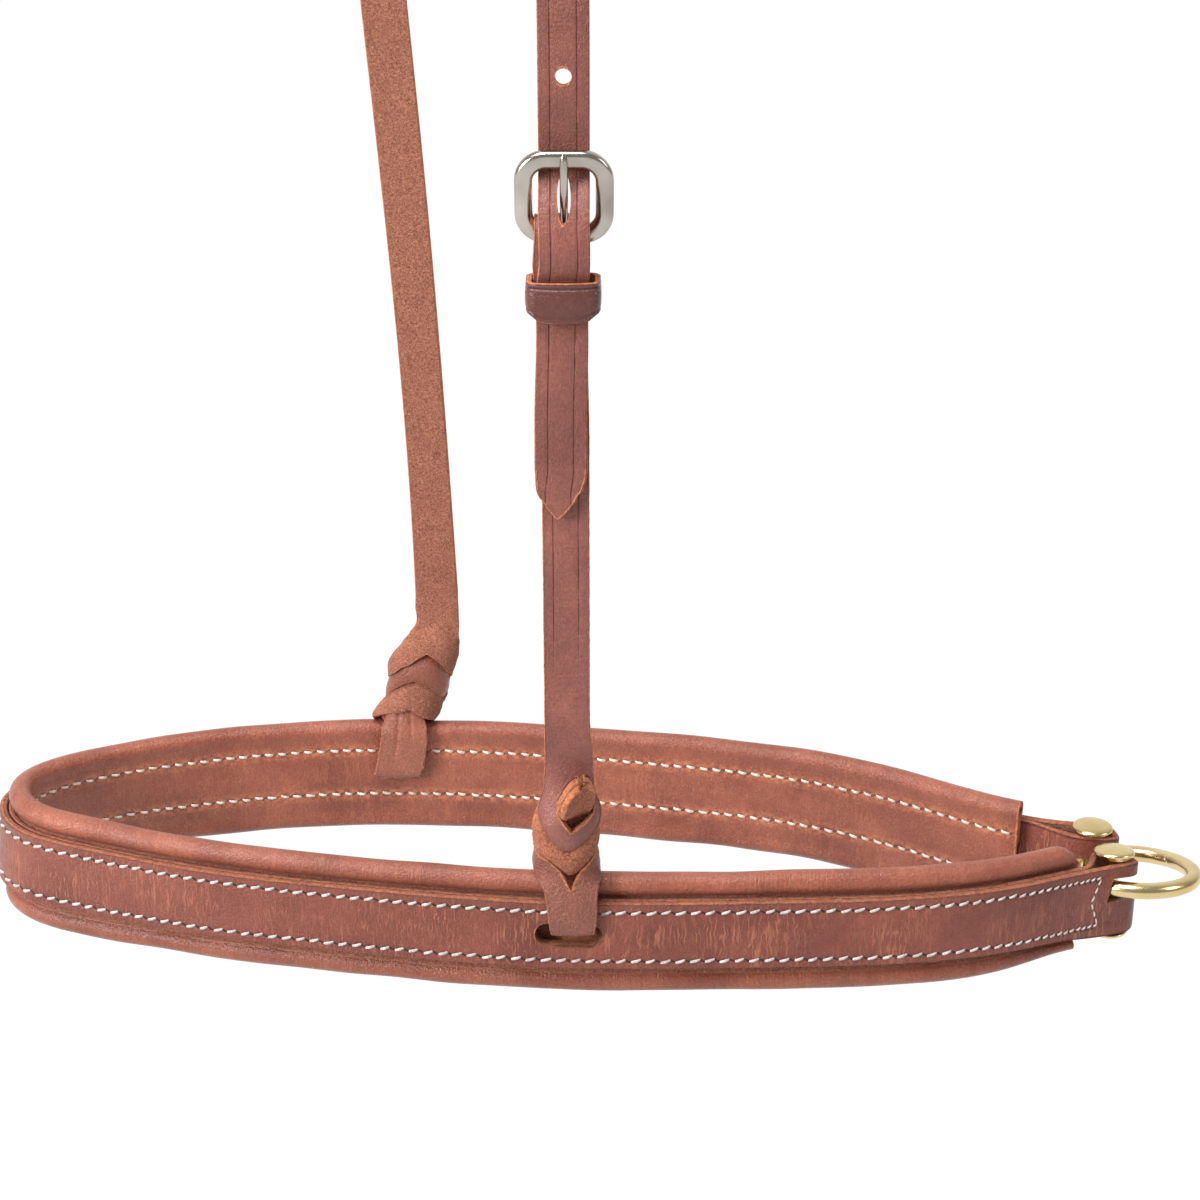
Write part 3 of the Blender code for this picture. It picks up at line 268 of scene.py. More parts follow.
def leather(name, middle, thickness, finish, grain=1.0, corner=0.5, relief=0.0, closed_rows=False, phase=None,
            raw_edge=0.0):
    """A strap over a middle surface; grain is the side, 1 or -1, of rows cross columns that shows grain."""
    middle = np.asarray(middle, float)
    rows, columns = middle.shape[:2]
    if closed_rows:
        wrapped = np.concatenate([middle[-1:], middle, middle[:1]])
        along = np.gradient(wrapped, axis=0)[1:-1]
    else:
        along = np.gradient(middle, axis=0)
    across = np.gradient(middle, axis=1)
    normal = unit(np.cross(along, across)) * grain
    half = np.broadcast_to(np.asarray(thickness, float) / 2, (rows,))[:, None]
    corner = min(corner, float(half.min()) * 0.98)
    lift = np.broadcast_to(np.asarray(relief, float), (rows, columns))
    over = np.concatenate([np.zeros((rows, 1)), np.cumsum(np.linalg.norm(np.diff(middle, axis=1), axis=2), 1)], 1)
    over -= over[:, -1:] / 2
    run = np.concatenate([[0.0], np.cumsum(np.linalg.norm(np.diff(middle[:, columns // 2], axis=0), axis=1))])
    phase = np.zeros(rows) if phase is None else phase
    soft = np.minimum(corner, 0.45 * 2 * over[:, -1])
    inset = np.zeros((rows, columns))
    inset[:, 0], inset[:, -1] = soft, -soft
    side = unit(across)
    points, place, flesh, rim, close = [], [], [], [], []

    def add(point, column_over, is_flesh, is_rim):
        points.append(point)
        place.append(np.stack([run, column_over, phase], -1))
        flesh.append(np.full(rows, is_flesh))
        rim.append(np.full(rows, is_rim))
        close.append(np.exp(-(over[:, -1] - np.abs(column_over)) / 1.1))

    def face(j, sign):
        high = half[:, 0] + (lift[:, j] if sign > 0 else 0.0)
        point = middle[:, j] + side[:, j] * inset[:, j][:, None] + normal[:, j] * (sign * high)[:, None]
        place_over = over[:, j] + inset[:, j]
        from_edge = over[:, -1] - soft - np.abs(place_over)
        add(point, place_over, 0.0 if sign > 0 else 1.0, raw_edge * np.clip(1 - from_edge / 0.45, 0, 1))

    def edge(j, outward, sign, angle):
        reach = soft * (math.sin(angle) - 1)
        high = half[:, 0] - corner + corner * math.cos(angle)
        point = middle[:, j] + side[:, j] * outward * reach[:, None] + normal[:, j] * (sign * high)[:, None]
        add(point, over[:, j] + outward * reach, 0.0 if sign > 0 else 1.0, math.sin(angle))

    for j in range(columns):
        face(j, 1)
    for angle in CORNER_STEPS:
        edge(columns - 1, 1, 1, angle)
    for angle in CORNER_STEPS[::-1]:
        edge(columns - 1, 1, -1, angle)
    for j in range(columns - 1, -1, -1):
        face(j, -1)
    for angle in CORNER_STEPS:
        edge(0, -1, -1, angle)
    for angle in CORNER_STEPS[::-1]:
        edge(0, -1, 1, angle)
    stack = lambda values: np.stack(values, 1)
    if not closed_rows:
        for k in (0, -1):
            for values in rim:
                values[k] = max(values[k], 0.8)
    marks = {"place": stack(place), "flesh": stack(flesh), "rim": stack(rim), "close": stack(close)}
    back = 2 * columns + 7
    cap = [[j, j + 1, back - j - 1, back - j] for j in range(columns - 1)]
    cap += [list(range(columns - 1, columns + 9)), [*range(back, back + 9), 0]]
    return skin(name, stack(points), finish, marks, closed_rows, cap)


def across_grid(centre, across, widths, columns):
    """A middle surface from centre places, unit directions across and widths."""
    share = np.linspace(-0.5, 0.5, columns)
    return centre[:, None, :] + across[:, None, :] * (np.asarray(widths)[:, None] * share[None, :])[..., None]


print("leather helper is ready")

# %% [markdown]
# Slots and punched holes are cut after the leather is made, with a prism and a Boolean, as a punch would. The
# manifold solver is quick and leaves a closed piece closed. A Boolean doesn't carry the marks to the new points,
# so each point takes those of its nearest old point, and points on the wall of the cut are marked as cut edge.


# %% Cutting a hole through a piece
def cut(made, outline, centre, right, up, through, depth, lip=0.5, lip_width=0.45):
    """Cuts a prism with a flat outline, given in millimetres from a centre, out of a piece."""
    centre, right, up, through = (Vector(v) for v in (centre, right, up, through))
    ring = [centre + right * x + up * z for x, z in outline]
    corners = [p + through * side for side in (-depth, depth) for p in ring]
    tool = add_piece("punch", np.array(corners), grid_faces(2, len(outline)), made.data.materials[0])
    old = made.data
    tree = KDTree(len(old.vertices))
    for i, v in enumerate(old.vertices):
        tree.insert(v.co, i)
    tree.balance()
    step = made.modifiers.new("punch", "BOOLEAN")
    step.operation, step.solver, step.object = "DIFFERENCE", "MANIFOLD", tool
    bpy.context.view_layer.update()
    new = bpy.data.meshes.new_from_object(made.evaluated_get(bpy.context.evaluated_depsgraph_get()))
    made.modifiers.clear()
    edge_a = np.array(outline, float)
    edge_b = np.roll(edge_a, -1, axis=0)
    nearest = np.array([tree.find(v.co)[1] for v in new.vertices])
    flat = np.array([((v.co / MM - centre).dot(right), (v.co / MM - centre).dot(up)) for v in new.vertices])
    span = edge_b - edge_a
    t = np.clip(((flat[:, None] - edge_a) * span).sum(-1) / (span**2).sum(-1), 0, 1)
    gap = np.linalg.norm(flat[:, None] - (edge_a + span * t[..., None]), axis=-1).min(1)
    wall = gap < 0.02
    within = np.array([abs((v.co / MM - centre).dot(through)) for v in new.vertices]) < depth
    for label in ("place", "flesh", "rim", "close"):
        if label not in old.attributes:
            continue
        source = old.attributes[label]
        size = 3 if source.data_type == "FLOAT_VECTOR" else 1
        key = "vector" if size == 3 else "value"
        values = np.zeros(len(old.vertices) * size, np.float32)
        source.data.foreach_get(key, values)
        values = values.reshape(-1, size)[nearest]
        if label in ("rim", "close"):
            values[:, 0] = np.maximum(values[:, 0], np.where(within, lip * np.exp(-gap / lip_width), 0.0))
            values[wall & within] = 1.0
        if label in new.attributes:
            new.attributes.remove(new.attributes[label])
        new.attributes.new(label, source.data_type, "POINT").data.foreach_set(key, values.ravel())
    new.set_sharp_from_angle(angle=SHARP_FROM)
    made.data = new
    bpy.data.objects.remove(tool)
    return made


def round_slot(length, height, steps=9):
    """The outline of a slot with round ends."""
    radius = height / 2
    reach = length / 2 - radius
    turn = np.linspace(-np.pi / 2, np.pi / 2, steps)
    outline = [(reach + radius * math.cos(a), radius * math.sin(a)) for a in turn]
    return outline + [(-x, -z) for x, z in outline]


print("punch is ready")

# %% [markdown]
# ## Finishes
#
# Each finish is a tree of nodes. A few one-line helpers keep the trees short: one adds a node and fills its
# inputs, one does arithmetic, one mixes two colours, and one makes noise. Colours are written as they look on
# screen, from 0 to 255, and turned into the linear light that the shader works in.


# %% Helpers for node trees
def shade(red, green, blue):
    """A screen colour as linear light."""
    def linear(value):
        value /= 255
        return value / 12.92 if value <= 0.04045 else ((value + 0.055) / 1.055) ** 2.4
    return (linear(red), linear(green), linear(blue), 1.0)


def put(tree, socket, value):
    if isinstance(value, bpy.types.NodeSocket):
        tree.links.new(value, socket)
    else:
        socket.default_value = value


def add_node(tree, kind, inputs=None, **settings):
    made = tree.nodes.new(kind)
    for label, value in settings.items():
        setattr(made, label, value)
    for label, value in (inputs or {}).items():
        put(tree, made.inputs[label], value)
    return made


def calc(tree, operation, *values):
    return add_node(tree, "ShaderNodeMath", dict(enumerate(values)), operation=operation).outputs[0]


def times(tree, first, second):
    return calc(tree, "MULTIPLY", first, second)


def plus(tree, first, second):
    return calc(tree, "ADD", first, second)


def minus(tree, first, second):
    return calc(tree, "SUBTRACT", first, second)


def apart(tree, first, second):
    """How far apart two numbers are."""
    return calc(tree, "ABSOLUTE", minus(tree, first, second))


def mixed(tree, share, first, second):
    """Two colours mixed by a share."""
    return add_node(tree, "ShaderNodeMix", {0: share, 6: first, 7: second}, data_type="RGBA").outputs[2]


def between(tree, value, low, high, to_low=0.0, to_high=1.0):
    """A value brought from one range to another and held there."""
    names = {"Value": value, "From Min": low, "From Max": high, "To Min": to_low, "To Max": to_high}
    return add_node(tree, "ShaderNodeMapRange", names, clamp=True).outputs[0]


def noise(tree, where, scale, detail=3.0, rough=0.55, twist=0.0):
    names = {"Vector": where, "Scale": scale, "Detail": detail, "Roughness": rough, "Distortion": twist}
    return add_node(tree, "ShaderNodeTexNoise", names).outputs[0]


def mark(tree, label, output="Fac"):
    return add_node(tree, "ShaderNodeAttribute", attribute_name=label).outputs[output]


def bumped(tree, height, strength, distance, under=None):
    names = {"Height": height, "Strength": strength, "Distance": distance}
    if under is not None:
        names["Normal"] = under
    return add_node(tree, "ShaderNodeBump", names).outputs[0]


def new_finish(name):
    made = bpy.data.materials.new(name)
    made.use_nodes = True
    return made, made.node_tree, made.node_tree.nodes["Principled BSDF"]


print("node helpers are ready")

# %% [markdown]
# Leather has three faces. The grain side is dyed and waxed: darker in broad soft clouds, paler where fine
# wrinkles stretch the surface across the strap. The flesh side is suede, a dense nap of two browns. The cut
# edge is raw and more orange. Where the edge meets the grain it is darker and a little purple: partly the
# burnish of the edge, partly a painted sheen along its bevel. One recipe makes all three and the marks choose
# between them, so a strap can be twisted and still be right on each side.


# %% The grain side
def grain_side(tree, where, flat_place, grain, raw, wrinkle, pebble, scuff):
    """Colour, height and mottle of the dyed side, with wrinkles across the strap and fine scratches."""
    run, over, _ = add_node(tree, "ShaderNodeSeparateXYZ", {0: flat_place}).outputs
    clouds = noise(tree, where, 55.0, 4.0, 0.6)
    mottle = noise(tree, where, 420.0, 4.0, 0.65)
    pebbles = noise(tree, where, 1500.0, 3.0, 0.6)
    pores = noise(tree, where, 2600.0, 2.0, 0.5)
    patchy = between(tree, noise(tree, where, 45.0, 2.0, 0.5), 0.34, 0.58)

    bent = plus(tree, run, times(tree, noise(tree, flat_place, 0.4, 2.0, 0.5), 1.6))
    tall = add_node(tree, "ShaderNodeCombineXYZ", {0: bent, 1: times(tree, over, 0.07)}).outputs[0]
    lines = noise(tree, tall, 1.1, 1.0, 0.5)
    crest = times(tree, between(tree, apart(tree, lines, 0.5), 0.0, 0.05, 1.0, 0.0), patchy)
    slanted = {"Vector": where, "Rotation": (0.3, 0.5, 0.9), "Scale": (1.0, 0.1, 1.0)}
    scratches = noise(tree, add_node(tree, "ShaderNodeMapping", slanted).outputs[0], 260.0, 3.0, 0.6)
    scratches = between(tree, apart(tree, scratches, 0.5), 0.0, 0.012, scuff, 0.0)

    body = mixed(tree, between(tree, clouds, 0.32, 0.68), grain[0], grain[1])
    body = mixed(tree, between(tree, mottle, 0.35, 0.75, 0.0, 0.5), body, grain[0])
    body = mixed(tree, between(tree, pebbles, 0.42, 0.7, 0.0, 0.3), body, grain[1])
    body = mixed(tree, between(tree, pebbles, 0.6, 0.36, 0.0, 0.35), body, grain[0])
    body = mixed(tree, times(tree, crest, wrinkle), body, raw[1])
    body = mixed(tree, times(tree, scratches, patchy), body, raw[1])
    height = plus(tree, times(tree, crest, wrinkle * 0.8), times(tree, pores, 0.3))
    return body, plus(tree, height, times(tree, pebbles, pebble)), mottle


print("grain side is ready")


# %% Creases and stitch holes
STITCH_PITCH, SLIT_SLOPE, SLIT_REACH, SLIT_WIDTH = 3.66, 0.42, 0.72, 0.36
# the colour of the painted shade inside the awl holes
HOLE_SHADE = shade(34, 14, 10)


def creased_line(tree, where, over, phase, at):
    """How clearly a creased line shows, at a distance from the strap's middle; it comes and goes a little."""
    line = between(tree, apart(tree, over, at), 0.0, 0.2, 1.0, 0.0)
    line = times(tree, line, between(tree, noise(tree, where, 260.0), 0.35, 0.55, 0.3, 1.0))
    return times(tree, line, phase)


def stitch_slit(tree, over, phase, at):
    """The short slanted awl holes half way between the stitches of a row, painted dark as the shade inside them."""
    x = times(tree, minus(tree, calc(tree, "FRACT", phase), 0.5), STITCH_PITCH)
    level = minus(tree, minus(tree, over, at), times(tree, x, SLIT_SLOPE))
    shares = [calc(tree, "DIVIDE", value, reach) for value, reach in ((x, SLIT_REACH), (level, SLIT_WIDTH))]
    far = plus(tree, *(times(tree, share, share) for share in shares))
    return between(tree, far, 0.5, 1.1, 1.0, 0.0)


def pulled_leather(tree, flat_place, over, at, pucker):
    """Where the thread of a row pulls the leather paler."""
    pulled = between(tree, apart(tree, over, at), 0.3, 2.6, pucker, 0.0)
    return times(tree, pulled, between(tree, noise(tree, flat_place, 0.55, 3.0, 0.6), 0.4, 0.6))


print("creases and stitch holes are ready, one hole every", STITCH_PITCH, "mm")


# %% The whole leather recipe
BUMP_DEPTH, NAP_DEPTH = 0.00034, 0.0006
# the colour near every cut edge: partly the edge's burnish, partly a painted sheen along its bevel
BURNISH_AND_SHEEN = shade(104, 60, 56)


def leather_finish(name, grain, suede, raw, wrinkle=0.5, gloss=0.42, creases=(), stitch_rows=(), burnish_and_sheen=0.35,
                   slit_share=1.0, pucker=0.0, pebble=1.0, scuff=0.1):
    """grain, suede and raw are pairs of a dark and a light colour."""
    made, tree, shader = new_finish(name)
    where = add_node(tree, "ShaderNodeTexCoord").outputs["Object"]
    flesh, rim, close = (mark(tree, label) for label in ("flesh", "rim", "close"))
    run, over, phase = add_node(tree, "ShaderNodeSeparateXYZ", {0: mark(tree, "place", "Vector")}).outputs
    flat_place = add_node(tree, "ShaderNodeCombineXYZ", {0: run, 1: over}).outputs[0]

    body, height, mottle = grain_side(tree, where, flat_place, grain, raw, wrinkle, pebble, scuff)
    # near each cut edge the grain turns darker and purple: burnish, and a painted sheen
    body = mixed(tree, times(tree, between(tree, close, 0.25, 0.8), burnish_and_sheen), body, BURNISH_AND_SHEEN)
    for at in creases:
        line = creased_line(tree, where, over, phase, at)
        body = mixed(tree, times(tree, line, 0.3), body, grain[0])
        height = minus(tree, height, times(tree, line, 1.2))
    for at in stitch_rows:
        body = mixed(tree, pulled_leather(tree, flat_place, over, at, pucker), body, raw[1])
        slit = times(tree, stitch_slit(tree, over, phase, at), slit_share)
        # painted shade: each awl hole is coloured dark, over a shallow dent
        body = mixed(tree, slit, body, HOLE_SHADE)
        height = minus(tree, height, times(tree, slit, 3.0))

    nap = noise(tree, where, 2100.0, 5.0, 0.85, 0.6)
    patches = noise(tree, where, 240.0, 3.0, 0.6)
    fuzz = mixed(tree, between(tree, nap, 0.4, 0.62), suede[0], suede[1])
    fuzz = mixed(tree, between(tree, patches, 0.35, 0.7, 0.0, 0.25), fuzz, suede[0])
    edge_nap = noise(tree, where, 900.0, 5.0, 0.8)
    cut_edge = mixed(tree, between(tree, edge_nap, 0.34, 0.66), raw[0], raw[1])
    broken = plus(tree, rim, times(tree, minus(tree, edge_nap, 0.5), 0.5))
    rim_share = between(tree, broken, 0.42, 0.72)
    flesh_share = between(tree, flesh, 0.35, 0.65)
    put(tree, shader.inputs["Base Color"], mixed(tree, rim_share, mixed(tree, flesh_share, body, fuzz), cut_edge))

    dull = calc(tree, "MAXIMUM", flesh_share, rim_share)
    waxed = between(tree, mottle, 0.3, 0.7, gloss - 0.06, gloss + 0.1)
    put(tree, shader.inputs["Roughness"], plus(tree, times(tree, dull, minus(tree, 0.93, waxed)), waxed))
    smooth_side = bumped(tree, times(tree, height, minus(tree, 1.0, flesh_share)), 1.0, BUMP_DEPTH)
    rough_height = times(tree, plus(tree, nap, edge_nap), dull)
    put(tree, shader.inputs["Normal"], bumped(tree, rough_height, 0.55, NAP_DEPTH, smooth_side))
    for label, value in {"Sheen Weight": 0.05, "Sheen Roughness": 0.5, "Specular IOR Level": 0.46}.items():
        shader.inputs[label].default_value = value
    return made


print("leather recipe is ready")

# %% [markdown]
# The outer strap is russet with clear wrinkles across it, the hanger is a shade redder and tighter in the grain,
# and the lining is softer, paler and smoother. The stitch holes belong to the finish of the outer strap, in step
# with the stitches that are made as real thread further down; each hole is a shallow dent with painted shade in it.

# %% The leathers
SUEDE = (shade(110, 60, 46), shade(200, 132, 104))
KNOT_SUEDE = (shade(112, 56, 40), shade(212, 136, 102))
RAW_EDGE = (shade(140, 72, 44), shade(222, 144, 100))
ROW_SPACING = 13.6
OUTER_SLITS = (ROW_SPACING / 2, -ROW_SPACING / 2)
DYED_EDGE = (shade(120, 62, 42), shade(192, 120, 88))
russet = leather_finish(
    "russet_leather", (shade(104, 46, 35), shade(148, 78, 60)), SUEDE, DYED_EDGE, wrinkle=0.5, gloss=0.34,
    burnish_and_sheen=0.5, stitch_rows=OUTER_SLITS,
)
keeper_leather = leather_finish(
    "keeper_leather", (shade(80, 40, 35), shade(112, 64, 56)), SUEDE, RAW_EDGE, wrinkle=0.0, gloss=0.2, pebble=0.4,
    scuff=0.0,
)
creased_leather = leather_finish(
    "creased_hanger_leather", (shade(106, 58, 50), shade(150, 88, 76)), SUEDE, RAW_EDGE, wrinkle=0.08,
    gloss=0.34, creases=(-2.9, 2.9), pebble=0.7,
)
lining_leather = leather_finish(
    "lining_leather", (shade(118, 58, 42), shade(168, 96, 72)), SUEDE, RAW_EDGE, wrinkle=0.12, gloss=0.28,
    burnish_and_sheen=0.1, stitch_rows=OUTER_SLITS, slit_share=0.55, pucker=0.55, pebble=0.8,
)
print("leathers", [m.name for m in (russet, keeper_leather, creased_leather, lining_leather)])

# %% [markdown]
# Thread is waxed linen, off-white and twisted, so its shine and its bump run in fine slanting bands. The brass
# is turned and lightly polished: soft wide reflections, faint scratches and slightly browner patches. The
# buckle is nickel-plated in the same way, and darker.


# %% Thread, brass, nickel and cord
def thread_finish(name, dark, light):
    made, tree, shader = new_finish(name)
    where = add_node(tree, "ShaderNodeTexCoord").outputs["Object"]
    place = mark(tree, "place", "Vector")
    parts = add_node(tree, "ShaderNodeSeparateXYZ", {0: place})
    bands = calc(tree, "SINE", plus(tree, times(tree, parts.outputs[0], 5.0), parts.outputs[1]))
    dust = noise(tree, where, 700.0, 4.0, 0.7)
    share = plus(tree, times(tree, bands, 0.1), between(tree, dust, 0.3, 0.7))
    put(tree, shader.inputs["Base Color"], mixed(tree, between(tree, share, 0.0, 1.0), dark, light))
    shader.inputs["Roughness"].default_value = 0.62
    shader.inputs["Sheen Weight"].default_value = 0.2
    height = plus(tree, bands, times(tree, dust, 0.6))
    put(tree, shader.inputs["Normal"], bumped(tree, height, 0.4, 0.00005))
    return made


def metal_finish(name, dark, light, rough):
    made, tree, shader = new_finish(name)
    where = add_node(tree, "ShaderNodeTexCoord").outputs["Object"]
    cloud = noise(tree, where, 90.0, 3.0, 0.5)
    scratch_place = add_node(tree, "ShaderNodeMapping", {"Vector": where, "Scale": (1.0, 1.0, 9.0)}).outputs[0]
    scratch = noise(tree, scratch_place, 900.0, 3.0, 0.6, 0.4)
    put(tree, shader.inputs["Base Color"], mixed(tree, between(tree, cloud, 0.3, 0.7), dark, light))
    put(tree, shader.inputs["Roughness"], between(tree, scratch, 0.3, 0.7, rough - 0.02, rough + 0.03))
    put(tree, shader.inputs["Normal"], bumped(tree, scratch, 0.03, 0.00002))
    shader.inputs["Metallic"].default_value = 1.0
    return made


outer_thread = thread_finish("outer_thread", shade(156, 146, 140), shade(212, 205, 200))
inner_thread = thread_finish("inner_thread", shade(190, 172, 158), shade(240, 230, 220))
brass = metal_finish("satin_brass", shade(214, 188, 130), shade(232, 212, 164), 0.24)
nickel = metal_finish("satin_nickel", shade(158, 150, 140), shade(202, 195, 186), 0.2)
cord_finish = thread_finish("core_cord", shade(176, 160, 132), shade(214, 200, 176))
print("thread, brass, nickel and cord are ready")

# %% [markdown]
# ## The outer strap
#
# The strap runs round the whole band on its outside and folds back on itself at both ends, where the folds hold
# the ring's posts. It is modelled as one length: in along the return, round the fold, along the band, round the
# far fold and back. Its grain side sinks a little under each stitch and rolls in at the slots.

# %% Layers across the band
LINING_FACE, LINING_BACK = -2.4, -0.6
FLANGE_FACE, FLANGE_BACK = -0.3, 1.1
BACKING_FACE, BACKING_BACK = 1.4, 2.9
STRAP_OUTSIDE = 5.2
CLOSE_PITCH, CLOSE_FROM, CLOSE_TO = 1.75, 14.0, 48.0
STRAP_THICKNESS, BACKING_THICKNESS = 2.0, 1.5
STRAP_MIDDLE = BAND_HEIGHT / 2 + 1.3
STRAP_BOTTOM, STRAP_TOP = STRAP_MIDDLE - 9.3, STRAP_MIDDLE + 9.3
ROWS = (STRAP_MIDDLE + ROW_SPACING / 2, STRAP_MIDDLE - ROW_SPACING / 2)
FOLD_INSIDE = 2.9
FOLD_RADIUS = FOLD_INSIDE + STRAP_THICKNESS / 2
FOLD_CENTRE = STRAP_OUTSIDE - STRAP_THICKNESS / 2 - FOLD_RADIUS
FOLD_BOTTOM, FOLD_TOP = STRAP_MIDDLE - 11.0, STRAP_MIDDLE + 9.1
FOLD_CORNER, FOLD_FLARE, POST_ROOM = 1.4, 22.0, 3.4
RETURN_LENGTH, NEAR_LINING_END, FAR_LINING_END = 34.0, 12.6, 21.0
NEAR_SLOT, FAR_SLOT = length_at_x(26.9, near=True), length_at_x(-22.5, near=False)
SLOT_LENGTH, SLOT_HEIGHT = 16.8, 6.6
print("strap from", STRAP_BOTTOM, "to", STRAP_TOP, "slots at", round(NEAR_SLOT, 1), round(FAR_SLOT, 1))


# %% The strap's route
def end_length(from_end, near):
    return np.asarray(from_end, float) if near else PLAN_LENGTH - np.asarray(from_end, float)


def fold_route(near):
    """Rows of plan x, y, thickness, distance from the fold and length along the band, from the return's end."""
    settled = (NEAR_LINING_END if near else FAR_LINING_END) - 4 * GAP
    away = np.concatenate([np.arange(RETURN_LENGTH, settled, -1.0), np.linspace(settled, POST_ROOM, 12)])
    share = ease((away - POST_ROOM) / (settled - POST_ROOM))
    sewn = (BACKING_FACE + BACKING_BACK) / 2
    n = (FOLD_CENTRE - FOLD_RADIUS) * (1 - share) + sewn * share
    thickness = STRAP_THICKNESS * (1 - share) + BACKING_THICKNESS * share
    s = end_length(away, near)
    flat = beside_band(s, n, BAND_HEIGHT / 2)[:, :2]
    leg = np.column_stack([flat, thickness, away, s])
    centre = beside_band(end_length([0.0], near), [FOLD_CENTRE], BAND_HEIGHT / 2)[0, :2]
    normal = plan_at(end_length([0.0], near))[1][0]
    onward = np.array((normal[1], -normal[0])) * (-1.0 if near else 1.0)
    angles = np.radians(np.linspace(-90.0, 90.0, 25))[:, None]
    round_fold = centre + (onward * np.cos(angles) + normal * np.sin(angles)) * FOLD_RADIUS
    depth = -np.cos(angles[:, 0]) * FOLD_RADIUS
    ends = np.full(25, float(end_length(0.0, near)))
    return np.vstack([leg, np.column_stack([round_fold, np.full(25, STRAP_THICKNESS), depth, ends])])


def strap_route():
    s = np.arange(POST_ROOM, PLAN_LENGTH - POST_ROOM, STITCH_PITCH / 4)
    place, normal = plan_at(s)
    away = np.minimum(s, PLAN_LENGTH - s)
    flat = place + normal * (FOLD_CENTRE + FOLD_RADIUS)
    main = np.column_stack([flat, np.full(len(s), STRAP_THICKNESS), away, s])
    return np.vstack([fold_route(True), main, fold_route(False)[::-1]]), len(fold_route(True)), len(s)


def stitch_lengths(first, last):
    """Where the stitches of a long row sit; they crowd together beside the near fold."""
    lengths = [first]
    while lengths[-1] < last:
        t = (lengths[-1] - CLOSE_FROM) / (CLOSE_TO - CLOSE_FROM)
        lengths.append(lengths[-1] + CLOSE_PITCH + (STITCH_PITCH - CLOSE_PITCH) * min(max(t, 0.0), 1.0))
    return np.array(lengths)


NEAR_CHEVRON, FAR_CHEVRON, CHEVRON_POINT = 8.2, 9.6, 2.4
ROUTE, MAIN_START, MAIN_COUNT = strap_route()
OUTER_STARTS = stitch_lengths(NEAR_CHEVRON + 0.6, PLAN_LENGTH - FAR_CHEVRON - STITCH_PITCH / 2)
OUTER_PHASE = np.arange(len(OUTER_STARTS))
print("outer strap has", len(ROUTE), "rows and", len(OUTER_STARTS), "stitches a row")


# %% The outer strap
def edge_heights(away):
    flare = 1.0 - ease((away - POST_ROOM) / FOLD_FLARE)
    corner = FOLD_CORNER * (np.maximum(0.0, -away) / FOLD_RADIUS) ** 3
    bottom = STRAP_BOTTOM + (FOLD_BOTTOM - STRAP_BOTTOM) * flare + corner
    return bottom, STRAP_TOP + (FOLD_TOP - STRAP_TOP) * flare - corner


def outer_strap():
    columns = 45
    ahead = np.gradient(ROUTE[:, :2], axis=0)
    ahead /= np.linalg.norm(ahead, axis=1)[:, None]
    normal = np.column_stack([-ahead[:, 1], ahead[:, 0]])
    bottom, top = edge_heights(ROUTE[:, 3])
    share = np.linspace(0.0, 1.0, columns)
    h = bottom[:, None] + (top - bottom)[:, None] * share
    main = np.zeros(len(ROUTE), bool)
    main[MAIN_START : MAIN_START + MAIN_COUNT] = True
    tilt = np.where(main, lean(ROUTE[:, 4]), 0.0)[:, None] * (h - BAND_HEIGHT / 2)
    x = ROUTE[:, 0][:, None] - normal[:, 0][:, None] * tilt
    y = ROUTE[:, 1][:, None] - normal[:, 1][:, None] * tilt
    middle = np.stack([x, y, world_z(h)], -1)
    relief = np.zeros_like(h)
    s = ROUTE[:, 4][:, None]
    for row in ROWS:
        under = np.exp(-(((h - row) / 0.7) ** 2))
        pull = 0.16 + 0.1 * np.cos(2 * np.pi * np.interp(s, OUTER_STARTS, OUTER_PHASE))
        relief -= np.where(main[:, None], under * pull, 0.0)
    for slot in (NEAR_SLOT, FAR_SLOT):
        out = np.hypot(np.maximum(np.abs(s - slot) - (SLOT_LENGTH - SLOT_HEIGHT) / 2, 0.0), h - STRAP_MIDDLE)
        lip = np.exp(-np.abs(out - SLOT_HEIGHT / 2) / 0.7)
        relief -= np.where(main[:, None], 0.55 * lip, 0.0)
    phase = np.where(main, np.interp(ROUTE[:, 4], OUTER_STARTS, OUTER_PHASE), 0.0)
    return leather(
        "outer_strap_leather", middle, ROUTE[:, 2], russet, grain=-1.0, corner=0.85, relief=relief, phase=phase,
    )


strap = outer_strap()
print("outer strap faces", len(strap.data.polygons))


# %% Slots and the notch for the ring
def cut_slot(made, s, length=SLOT_LENGTH, height=SLOT_HEIGHT, h=STRAP_MIDDLE):
    place, normal = plan_at([s])
    centre = (*place[0], world_z(h))
    along = (normal[0][1], -normal[0][0], 0.0)
    return cut(made, round_slot(length, height), centre, along, (0, 0, 1), (*normal[0], 0.0), 15.0)


RING_INSIDE, RING_WIRE = 26.6, 4.2
RING_RADIUS = (RING_INSIDE + RING_WIRE) / 2
RING_TILT = math.radians(-10.0)
RING_CENTRE = np.array((173.6, -9.8, world_z(STRAP_MIDDLE - 0.2)))
RING_RIGHT = np.array((1.0, 0.0, 0.0))
RING_FAR = np.array((0.0, math.cos(RING_TILT), math.sin(RING_TILT)))
RING_AXIS = np.array((0.0, -math.sin(RING_TILT), math.cos(RING_TILT)))
NOTCH_HEIGHT, NOTCH_ROOM = 6.6, 0.5


def cut_notch(made):
    """A disc the size of the ring opens both folds at once."""
    radius = RING_RADIUS + RING_WIRE / 2 + NOTCH_ROOM
    outline = [(radius * math.cos(a), radius * math.sin(a)) for a in turns(96)]
    return cut(made, outline, RING_CENTRE, RING_RIGHT, RING_FAR, RING_AXIS, NOTCH_HEIGHT / 2)


